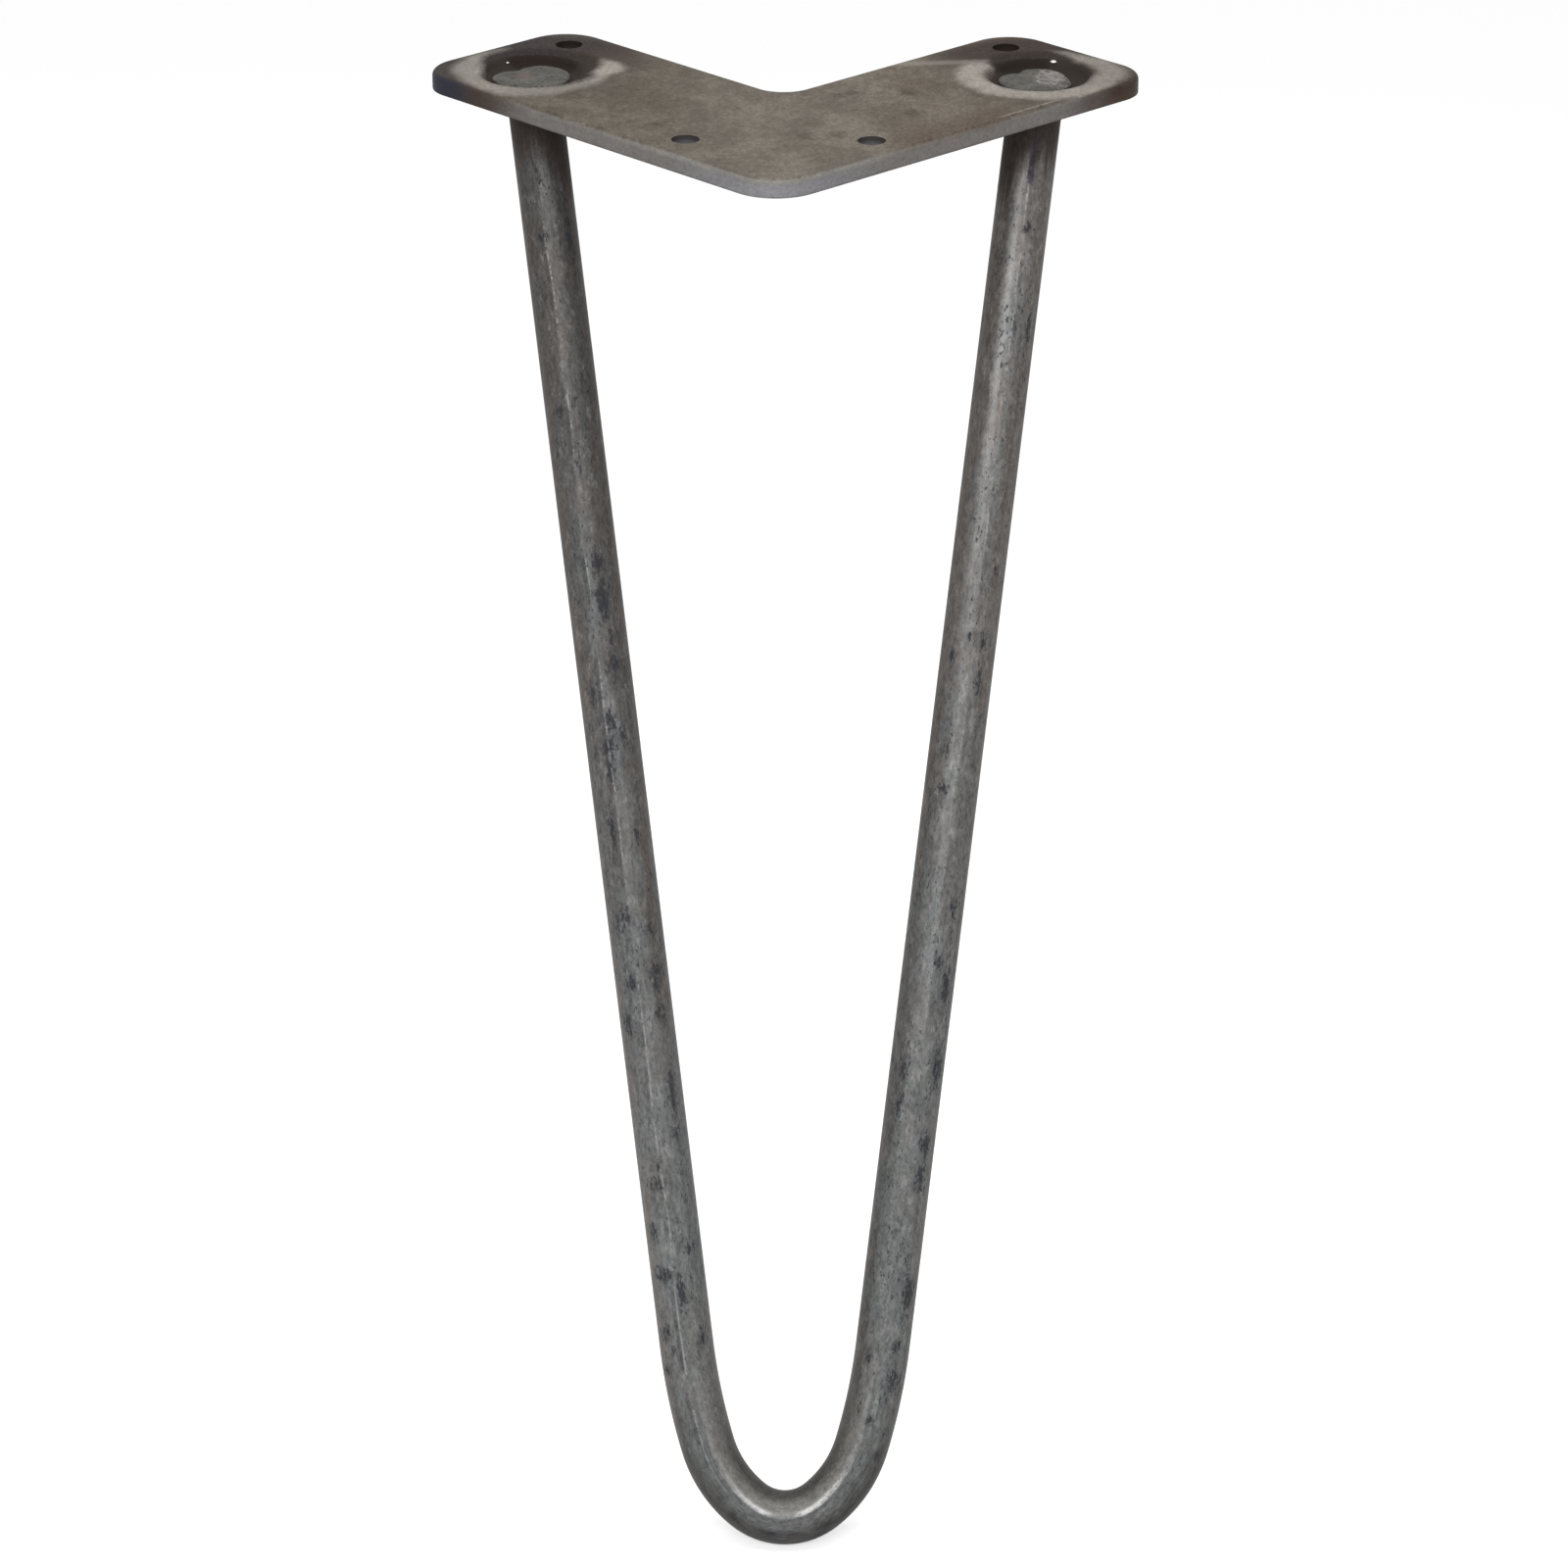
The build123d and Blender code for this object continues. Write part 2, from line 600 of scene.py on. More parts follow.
RIGHT_PATCHES = (
    (18, 0.15, 9, 1.3), (32, 0.3, 2.6, 2), (53, 0.75, 5, 1), (107, 0.65, 3, 1.8), (122, 0, 1.3, 1.3),
    (123, 0.45, 4, 1.3), (132, 0.5, 7, 1.2), (127, -0.6, 2.6, 1.2), (147, -0.3, 2.2, 1.2),
    (156, -0.3, 1.8, 1.8), (182, 0.6, 4, 1.4), (189, 0.1, 2.2, 1), (194, 0.3, 2.6, 1.8), (200, 0.7, 6, 1.4),
    (218, 0.75, 6.5, 3), (219, -0.5, 3.5, 1.7), (226, -0.5, 5.5, 1.5), (235, 0.65, 5, 2.6), (242, 0.6, 5, 3),
    (268, 0.7, 6.5, 2.6), (280, 0.45, 3, 2.2), (287, 0.6, 5.5, 3), (283, -0.5, 3, 1.7), (297, 0, 1.8, 1.8),
    (295, -0.5, 5, 1.2), (304, 0.6, 2, 1.5), (321, 0.6, 2.5, 1.3), (323, 0.85, 3, 1.4),
)


@dataclass(frozen=True)
class BarSteel:
    """Finish of the bar: satin hot-rolled steel with streaks, speckle and flecks of mill scale along it.

    Lengths are in millimetres. Across the bar, out is read from its axis towards the outside of the bend and
    front towards the front. Along it, along is read from the left seat, from_right from the right seat,
    from_seat from the nearer one, and past_foot from the foot towards the right. A fall of 1 is the drip's
    whole length.

    Attributes:
        specular: the shader's specular level.
        edge_tint: how much of the white surroundings shows at a glancing angle.
        depth: depth of the relief, in metres.
        drip_start: where the drip begins, from the right seat.
        drip_length: how far down it runs.
        speckled: tone of what shines in specks.
        noises: noise over the skin, by layer.
        seam_noises: noise along the bar alone, by layer.
        flecks: noise that scatters the flecks of scale.
        layers: what the looks are worked out from, in order.
        drip_edge: where the drip ends and where it is full, past its half width.
        coats: colours over the bare steel, from the lowest up.
    """

    specular: float = 0.2
    edge_tint: float = 0.6
    depth: float = 0.03 * MM
    brown: Colour = (0.128, 0.117, 0.109)
    grey: Colour = (0.122, 0.1235, 0.1235)
    worn: Colour = (0.270, 0.265, 0.262)
    burnish: Colour = (0.460, 0.460, 0.460)
    drip_start: float = 11.2
    drip_length: float = 12.2
    speckled: Part = mix(base=0.4, speckle=0.6)
    noises: Sequence[tuple[str, Grain]] = (
        ("streaks", Grain(0.75, 1.0, drawn=30.0)),
        ("clouds", Grain(0.2, 2.0, drawn=3.3, detail=2.0)),
        ("speckle", Grain(1.5, 3.0, drawn=2.0, roughness=0.75)),
        ("rubs", Grain(0.6, 5.0, drawn=2.5, detail=4.0, roughness=0.7)),
    )
    seam_noises: Sequence[tuple[str, Grain]] = (
        ("dashes", Grain(0.06, 6.0, roughness=0.7)),
        ("beads", Grain(1.1, 7.0, detail=4.0, roughness=0.8)),
    )
    flecks: Grain = Grain(1.9, 4.0, drawn=2.4, detail=4.0, roughness=0.65)
    layers: Sequence[Layer] = (
        # Flecks and patches of mill scale, thinner in the bend
        Layer("bend", Part("off_foot", (62.0, 12.0))),
        Layer("thickness", mix(base=-0.12, flecks=1.1, patches=0.23, clouds=0.08, speckle=0.06, bend=-0.05)),
        Layer("scale", Part("thickness", (0.57, 0.70))),
        # Rolling seam, broken into dashes, with a painted highlight along it and painted shade beside it
        Layer("low_left", Part("along", (170.0, 260.0)), Part("past_foot", (20.0, -60.0))),
        Layer("broken", mix((0.45, 0.85), dashes=0.5, beads=0.5, low_left=0.22)),
        Layer("seam", Part("seam_gap", Band(0.0, 0.28, 0.05)), "broken", "seam_strength"),
        Layer("beside", Part("seam_gap", Band(-0.7, 0.8, 0.1))),
        Layer("seam_shade", "beside", Part("dashes", (0.2, 0.7)), "seam_strength"),
        # Ground, browner near the plate, and greyer and lighter towards the foot; greyer down the front
        # middle and browner on the flanks as painted highlight colour
        Layer("near_seat", Part("from_seat", (260.0, 60.0))),
        Layer("flank", Part("off_middle", (1.5, 5.0))),
        Layer("tint", mix((0.2, 0.8), base=0.55, clouds=0.3, streaks=0.3, near_seat=-0.35, flank=-0.3)),
        Layer("lower", Part("along", (0.0, 250.0))),
        # Painted shade: each leg is darker on its inner side, which faces the other leg
        Layer("outer", Part("out", (-5.0, 2.0))),
        # Painted light on the lower left leg: lighter flanks and a darker front middle, which flatten its
        # shading
        Layer("low_core", "low_left", Part("out", Band(-0.2, 1.6, 0.4))),
        Layer(
            "light",
            mix(base=0.44, streaks=0.18, speckle=0.54, rubs=0.36),
            mix(base=0.60, lower=0.42),
            mix(base=0.88, outer=0.12),
            mix(base=1.0, low_left=0.16, low_core=-0.14),
            mix(base=1.0, seam_shade=-0.3),
        ),
        # Rubbed specks all over, a rubbed band at the top of the left leg, and a painted highlight down the
        # upper front of the right leg
        Layer("rubbed", mix((0.70, 1.0), rubs=0.7, speckle=0.3)),
        Layer("front_face", Part("front", (1.0, 3.0))),
        Layer("top_left", mix((12.0, 18.0), along=1.0, rubs=6.0), Part("along", (80.0, 50.0))),
        Layer("left_band", Part("out", Band(-0.7, 3.0, 0.9)), "front_face"),
        Layer("worn_band", "left_band", "top_left", "speckle"),
        Layer("below_weld", mix((17.0, 25.0), from_right=1.0, rubs=5.0)),
        Layer("right_band", Part("out", Band(-1.5, 1.7, 0.4)), "front_face"),
        Layer("gloss", "right_band", "below_weld", Part("from_right", (130.0, 60.0))),
        Layer("glossy", "gloss", speckled),
        # Bend, pale inside and darker towards both edges of the bar, with a polished ridge that carries a
        # painted highlight above a dark line
        Layer("inside", "bend", Part("out", (-0.4, -2.2))),
        Layer("ridge", "bend", Part("out", (-0.5, -0.9)), Part("out", (-2.3, -1.4))),
        Layer("toe", Part("past_foot", Band(3.0, 26.0, 9.0))),
        Layer("gleam", "ridge", "toe", Part("past_foot", Band(0.5, 1.5, 5.0))),
        Layer("shine", mix(ridge=0.10, gleam=0.26), speckled),
        Layer("below", "bend", Part("out", Band(-0.2, 0.7, 0.1)), Part("rubs", (0.2, 0.7))),
        # Darker towards the outside and the inside edge of the bar in the bend, along a line below the ridge,
        # and on the patches
        Layer("outside_dirt", Part("out", (-0.2, 5.0))),
        Layer("inside_dirt", Part("out", (-2.6, -5.6))),
        Layer("grime", "bend", "bend", mix(outside_dirt=1.0, inside_dirt=0.85)),
        Layer("dirt", mix(grime=0.62, below=0.35, patches=0.2)),
        # Soot under the plate with painted shadow of the plate in it, reaching lower inside the bend, and a
        # drip under the right seat
        Layer("inward", Part("out", (-0.4, -4.4))),
        Layer("soot", mix((21.5, 12.0), from_seat=1.0, streaks=5.0, rubs=-5.0, inward=-8.0)),
        Layer("sooty", "soot", mix(base=0.9, speckle=-0.16)),
        Layer("drip_side", mix(out=1.0, base=-0.65, fall=-0.4)),
        Layer("drip_half", mix(fall=0.45)),
        Layer("drip_top", Part("fall", (0.0, 0.12)), Part("front", (0.0, 1.0))),
        Layer("drip_end", "drip_top", mix((1.0, 0.85), base=-0.05, fall=1.0, speckle=0.1)),
        # Sheen and relief
        Layer("right_half", Part("past_foot", (-60.0, 80.0))),
        Layer(
            "roughness",
            mix(base=0.40, speckle=0.12, scale=0.12, seam=-0.12, soot=0.2, gleam=-0.16, gloss=-0.08),
        ),
        Layer("metallic", mix(base=0.38, right_half=0.30, scale=-0.3, soot=-0.3, gleam=0.25, low_left=-0.12)),
        Layer("relief", mix(base=0.5, speckle=0.5, scale=-0.5)),
    )
    drip_edge: Step = (0.35, 0.05)
    coats: Sequence[Coat] = (
        Coat("rubbed", worn, 0.35),
        Coat("worn_band", worn, 0.16),
        # Painted highlight down the upper front of the right leg
        Coat("glossy", worn, 0.22),
        Coat("inside", (0.176, 0.165, 0.150), 0.55, mix(base=0.7, speckle=0.5)),
        # Darkening over the bend's edges, below its ridge and on the patches
        Coat("dirt", BLACK),
        # Painted highlight on the polished ridge inside the bend
        Coat("shine", burnish),
        Coat("scale", (0.026, 0.026, 0.032), 0.86, mix(base=0.75, speckle=0.5)),
        # Painted highlight along the seam's ridge
        Coat("seam", burnish, 0.30),
        # Soot and painted shadow of the plate at the top of each leg
        Coat("sooty", (0.032, 0.023, 0.020)),
        Coat("drip", (0.034, 0.030, 0.044), 0.85),
    )

    def lay_places(self, steel: Finish, bar: "HairpinBar") -> None:
        """Layers of place and noise.

        Args:
            steel: the finish to lay them in.
            bar: the bar that it goes on.
        """
        n, layers = steel.nodes, steel.layers
        front, out, along = n.parts(n.scaled(steel.attribute(bar.PLACE, "Vector"), PER_METRE))
        length = bar.length() * PER_METRE
        past_foot, from_right = along - length / 2, length - along
        layers.update(front=front, out=out, along=along, past_foot=past_foot, from_right=from_right)
        layers.update(off_middle=abs(out), off_foot=abs(past_foot))
        layers["from_seat"] = n.math("MINIMUM", along, from_right)
        layers["fall"] = (from_right - self.drip_start) / self.drip_length
        turn = n.math("ARCTAN2", front, out) - steel.attribute(bar.SEAM_TURN, "Fac")
        layers["seam_gap"] = turn * (bar.diameter / 2 * PER_METRE)
        layers["seam_strength"] = steel.attribute(bar.SEAM_STRENGTH, "Fac")
        layers["patches"] = steel.attribute(bar.DENSITY, "Fac")
        layers["flecks"] = n.noise(n.combined(front, out, along / self.flecks.drawn), self.flecks)
        for name, grain in self.noises:
            layers[name] = n.mottle(n.combined(front, out, along / grain.drawn), grain)
        for name, grain in self.seam_noises:
            layers[name] = n.mottle(n.combined(0.0, 0.0, along), grain)

    def build(self, bar: "HairpinBar") -> bpy.types.Material:
        """Makes the material.

        Args:
            bar: the bar that it goes on.

        Returns:
            The material.
        """
        steel = Finish("bar_steel_rolled", self.specular, self.edge_tint)
        layers = steel.layers
        self.lay_places(steel, bar)
        steel.lay(self.layers)
        drip = (abs(layers["drip_side"]) - layers["drip_half"]).rise(self.drip_edge)
        layers["drip"] = drip * layers["drip_end"]
        return steel.finish(steel.coated(steel.ground(self.brown, self.grey), *self.coats), self.depth)


@dataclass(frozen=True)
class HairpinBar:
    """One round bar, bent at the foot in arcs and cut level at both ends.

    Attributes:
        seats: where the bar's axis ends, at the left and the right.
        foot: middle of the bar at the foot.
        diameter: of the bar.
        toe_r: axis radius under the foot.
        toe_turn: turn of that arc to each side, in radians.
        shoulder_r: axis radius above the toe.
        flare_r: axis radius of the slow last turn.
        flare_turn: that turn, in radians.
        seam_angle: where the rolling seam runs, from the outside of the bend towards the front, in radians.
        seam_wander: how far it strays from there, in radians.
        seam_wave: length along the bar over which it strays.
        seam_fade: where the seam starts to fade on its way to the foot, and where it is gone, from the foot.
        seam_return: where it starts again beyond the foot, and where it is at its plainest.
        seam_right: how plain it is there, where 1 is as on the left leg.
        seam_height: rise of the seam.
        seam_width: half width of the seam.
        lumps: unevenness of the rolled surface.
        lump_scale: lumps for each metre across the bar.
        lump_draw: how many of them there are along it for each one across.
        lump_seed: picks their pattern.
        step: spacing of the rings along the axis.
        facets: points round the bar.
        trim: length over which the end rings lean into the level cut.
        patch_fall: how quickly a patch of mill scale thins out from its middle.
        hidden_patches: patches on the back of each leg.
        hidden_seed: picks their places and sizes.
        hidden_top: the highest such patch, in millimetres from the seat.
        hidden_out: the range of their places across the bar, as a patch gives it.
        hidden_length: the range of their lengths, in millimetres.
        hidden_width: the range of their widths, in millimetres.
    """

    PLACE = "bar_place"
    DENSITY = "scale_density"
    SEAM_TURN = "seam_turn"
    SEAM_STRENGTH = "seam_strength"

    seats: Mapping[Side, Vector]
    foot: Vector
    diameter: float = 12 * MM
    toe_r: float = 12.9 * MM
    toe_turn: float = math.radians(38.9)
    shoulder_r: float = 27.2 * MM
    flare_r: float = 135 * MM
    flare_turn: float = math.radians(9.8)
    seam_angle: float = math.radians(84)
    seam_wander: float = 0.13
    seam_wave: float = 22 * MM
    seam_fade: tuple[float, float] = (30 * MM, 12 * MM)
    seam_return: tuple[float, float] = (80 * MM, 150 * MM)
    seam_right: float = 0.6
    seam_height: float = 0.06 * MM
    seam_width: float = 0.3 * MM
    lumps: float = 0.05 * MM
    lump_scale: float = 180.0
    lump_draw: float = 0.3
    lump_seed: float = 7.0
    step: float = 1 * MM
    facets: int = 80
    trim: float = 12 * MM
    patch_fall: float = 0.7
    hidden_patches: int = 36
    hidden_seed: int = 5
    hidden_top: float = 20.0
    hidden_out: tuple[float, float] = (-0.8, 0.8)
    hidden_length: tuple[float, float] = (2.0, 8.0)
    hidden_width: tuple[float, float] = (1.2, 3.0)

    def plane(self) -> Matrix:
        """The leaning plane of the bend.

        Returns:
            A matrix with its origin at the foot, X across, Y up the leg and Z to the front.
        """
        middle = (self.seats[Side.LEFT] + self.seats[Side.RIGHT]) / 2
        rise = (middle - self.foot).normalized()
        across = (Vector((1, 0, 0)) - rise * rise.x).normalized()
        turned = Matrix((across, rise, across.cross(rise))).transposed().to_4x4()
        return Matrix.Translation(self.foot) @ turned

    def half(self, side: Side) -> list[Vector]:
        """Axis of one leg in the bend's plane, from the foot to its seat, with its outside towards +X.

        Args:
            side: which leg.

        Returns:
            Points about a step apart.
        """
        seat = self.plane().inverted() @ self.seats[side]
        seat.x *= side.value
        centre_x = (self.toe_r - self.shoulder_r) * math.sin(self.toe_turn)
        centre_y = self.toe_r - (self.toe_r - self.shoulder_r) * math.cos(self.toe_turn)
        offset = self.flare_r - (self.flare_r - self.shoulder_r) * math.cos(self.flare_turn)
        across, up = seat.x - centre_x, seat.y - centre_y
        straight = math.atan2(up, across) + math.asin(offset / math.hypot(across, up))
        arcs = (
            (self.toe_r, self.toe_turn),
            (self.shoulder_r, straight - self.toe_turn - self.flare_turn),
            (self.flare_r, self.flare_turn),
        )
        points = [Vector((0, 0, 0))]
        heading = 0.0
        for radius, turn in arcs:
            hub = points[-1] + radius * Vector((-math.sin(heading), math.cos(heading), 0))
            steps = math.ceil(radius * turn / self.step)
            for count in range(1, steps + 1):
                angle = heading + turn * count / steps
                points.append(hub + radius * Vector((math.sin(angle), -math.cos(angle), 0)))
            heading += turn
        start = points[-1]
        steps = math.ceil((seat - start).length / self.step)
        points += [start.lerp(seat, count / steps) for count in range(1, steps + 1)]
        return points

    def axis(self) -> np.ndarray:
        """The whole axis in the frame, from the left seat round the foot to the right seat.

        Returns:
            Its points, one a row.
        """
        left = [Vector((-p.x, p.y, p.z)) for p in reversed(self.half(Side.LEFT)[1:])]
        plane = self.plane()
        return np.array([plane @ p for p in left + self.half(Side.RIGHT)])

    def along(self) -> np.ndarray:
        """Distance of each axis point from the left seat."""
        steps = np.linalg.norm(np.diff(self.axis(), axis=0), axis=1)
        return np.concatenate(([0.0], np.cumsum(steps)))

    def length(self) -> float:
        """Length of the bar's axis."""
        return float(self.along()[-1])

    def seam_turns(self) -> np.ndarray:
        """Where the seam runs round the bar at each axis point, in radians from the outside of the bend."""
        strays = [noise.noise(Vector((along / self.seam_wave, 0.0, 0.0))) for along in self.along()]
        return self.seam_angle + self.seam_wander * np.array(strays)

    def seam_strengths(self) -> np.ndarray:
        """How plain the seam is along the bar.

        Returns:
            A value from 0 to 1 for each axis point.
        """
        past_foot = self.along() - self.length() / 2
        towards = np.interp(-past_foot, self.seam_fade[::-1], (0.0, 1.0))
        beyond = np.interp(past_foot, self.seam_return, (0.0, self.seam_right))
        return np.maximum(towards, beyond)

    def host(self) -> bpy.types.Mesh:
        """The axis as a line of edges that carries its place, heading, distance and seam.

        Returns:
            A mesh of points and edges.
        """
        points = self.axis()
        headings = np.gradient(points, axis=0)
        headings /= np.linalg.norm(headings, axis=1, keepdims=True)
        mesh = bpy.data.meshes.new("bar_axis")
        mesh.from_pydata(points.tolist(), [(i, i + 1) for i in range(len(points) - 1)], [])
        for name, rows in (("axis_place", points), ("axis_heading", headings)):
            mesh.attributes.new(name, "FLOAT_VECTOR", "POINT").data.foreach_set("vector", rows.ravel())
        lines = (
            ("axis_along", self.along()),
            (self.SEAM_TURN, self.seam_turns()),
            (self.SEAM_STRENGTH, self.seam_strengths()),
        )
        for name, values in lines:
            mesh.attributes.new(name, "FLOAT", "POINT").data.foreach_set("value", values)
        return mesh

    def tree(self, material: bpy.types.Material) -> GeometryTree:
        """Sweeps a round section along the axis, with its seam, uneven skin and level ends.

        Args:
            material: its steel.

        Returns:
            The Geometry Nodes group.
        """
        values = {
            "Bar Radius": self.diameter / 2,
            "Bar Length": self.length(),
            "Points Around": self.facets,
            "Front": Vector(self.plane().col[2][:3]),
            "Seam Height": self.seam_height,
            "Seam Width": self.seam_width,
            "Lump Height": self.lumps,
            "Lump Scale": self.lump_scale,
            "Lump Draw": self.lump_draw,
            "Trim Length": self.trim,
            "Seed": self.lump_seed,
            "Material": material,
        }
        tree = GeometryTree("Bent bar", values)
        n, given = tree.nodes, tree.inputs
        line = n.node("GeometryNodeMeshToCurve", None, {"Mesh": given["Geometry"]})
        ring = n.node(
            "GeometryNodeCurvePrimitiveCircle", None,
            {"Resolution": given["Points Around"], "Radius": given["Bar Radius"]},
        )
        swept = n.node(
            "GeometryNodeCurveToMesh", None,
            {"Curve": n.out(line), "Profile Curve": n.out(ring), "Fill Caps": True},
        )
        heading = tree.named("axis_heading", "FLOAT_VECTOR")
        along = tree.named("axis_along", "FLOAT")
        position = n.out(n.node("GeometryNodeInputPosition"))
        outward = n.vector("SUBTRACT", position, tree.named("axis_place", "FLOAT_VECTOR"))
        outside = n.vector("CROSS_PRODUCT", heading, given["Front"])
        to_front = n.vector("DOT_PRODUCT", outward, given["Front"], result="Value")
        to_outside = n.vector("DOT_PRODUCT", outward, outside, result="Value")
        place = n.combined(to_front, to_outside, along)
        stored = n.node(
            "GeometryNodeStoreNamedAttribute", {"data_type": "FLOAT_VECTOR", "domain": "POINT"},
            {"Geometry": n.out(swept), "Name": self.PLACE, "Value": place},
        )

        seam_turn = tree.named(self.SEAM_TURN, "FLOAT")
        from_seam = (n.math("ARCTAN2", to_front, to_outside) - seam_turn) * given["Bar Radius"]
        ridge = n.math("EXPONENT", -((from_seam / given["Seam Width"]) ** 2.0)) * given["Seam Height"]
        ridge = ridge * tree.named(self.SEAM_STRENGTH, "FLOAT")
        spot = n.combined(to_front, to_outside, along * given["Lump Draw"])
        lump = n.node(
            "ShaderNodeTexNoise", {"noise_dimensions": "4D"},
            {"Vector": spot, "W": given["Seed"], "Scale": given["Lump Scale"]},
        )
        swell = (n.out(lump) - 0.5) * given["Lump Height"] + ridge
        end_gap = n.math("MINIMUM", along, given["Bar Length"] - along)
        lean = n.math("MAXIMUM", 1.0 - end_gap / given["Trim Length"], 0.0)
        slide = -(n.parts(outward)[2] / n.parts(heading)[2]) * lean
        offset = n.vector(
            "ADD", n.scaled(n.vector("NORMALIZE", outward), swell), n.scaled(heading, slide)
        )
        moved = n.node("GeometryNodeSetPosition", None, {"Geometry": n.out(stored), "Offset": offset})
        smooth = n.node("GeometryNodeSetShadeSmooth", None, {0: n.out(moved)})
        tree.close(n.out(smooth))
        return tree

    def patch_density(self, places: np.ndarray) -> np.ndarray:
        """How thick the mill scale lies over the bar's skin.

        Args:
            places: bar places of the mesh's points, one a row.

        Returns:
            A value from 0 to 1 for each point.
        """
        radius, total = self.diameter / 2, self.length()
        angles = np.arctan2(places[:, 0], places[:, 1])
        density = np.zeros(len(places))
        draw = random.Random(self.hidden_seed)
        for side, rows in ((Side.LEFT, LEFT_PATCHES), (Side.RIGHT, RIGHT_PATCHES)):
            shown = [(1, ScalePatch(*row)) for row in rows]
            hidden = [(-1, self.hidden_patch(draw)) for _ in range(self.hidden_patches)]
            for face, patch in shown + hidden:
                down = patch.down * MM
                middle = down if side is Side.LEFT else total - down
                along = (places[:, 2] - middle) / (patch.length * MM / 2)
                around = (angles - face * math.acos(patch.out)) * radius / (patch.width * MM / 2)
                density = np.maximum(density, np.exp(-self.patch_fall * (along ** 2 + around ** 2)))
        return density

    def hidden_patch(self, draw: random.Random) -> ScalePatch:
        """A patch for the back of a leg, of the kind that the front shows.

        Args:
            draw: the seeded source of its place and size.

        Returns:
            The patch.
        """
        reach = (self.hidden_top, self.length() / 2 * PER_METRE)
        ranges = (reach, self.hidden_out, self.hidden_length, self.hidden_width)
        return ScalePatch(*(draw.uniform(*ends) for ends in ranges))

    def build(self, finish: BarSteel) -> bpy.types.Object:
        """Makes the bar.

        Args:
            finish: its steel.

        Returns:
            The piece that stands for the bar's solid.
        """
        piece = self.tree(finish.build(self)).run("bent_bar", self.host())
        mesh = piece.data
        for name in ("axis_place", "axis_heading", "axis_along"):
            mesh.attributes.remove(mesh.attributes[name])
        places = np.zeros(len(mesh.vertices) * 3, np.float32)
        mesh.attributes[self.PLACE].data.foreach_get("vector", places)
        density = self.patch_density(places.reshape(-1, 3).astype(float))
        mesh.attributes.new(self.DENSITY, "FLOAT", "POINT").data.foreach_set("value", density)
        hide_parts("hairpin_rod")
        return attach(piece, BODY)


@dataclass(frozen=True)
class Drift:
    """A change of a heat mark in one direction from its seat.

    Attributes:
        side: which seat.
        way: the direction, in degrees from the plate's outside towards its back.
        start: cosine of the angle off that direction at which the change sets in.
        reach: the change in that direction.
    """

    side: Side
    way: float
    start: float
    reach: float


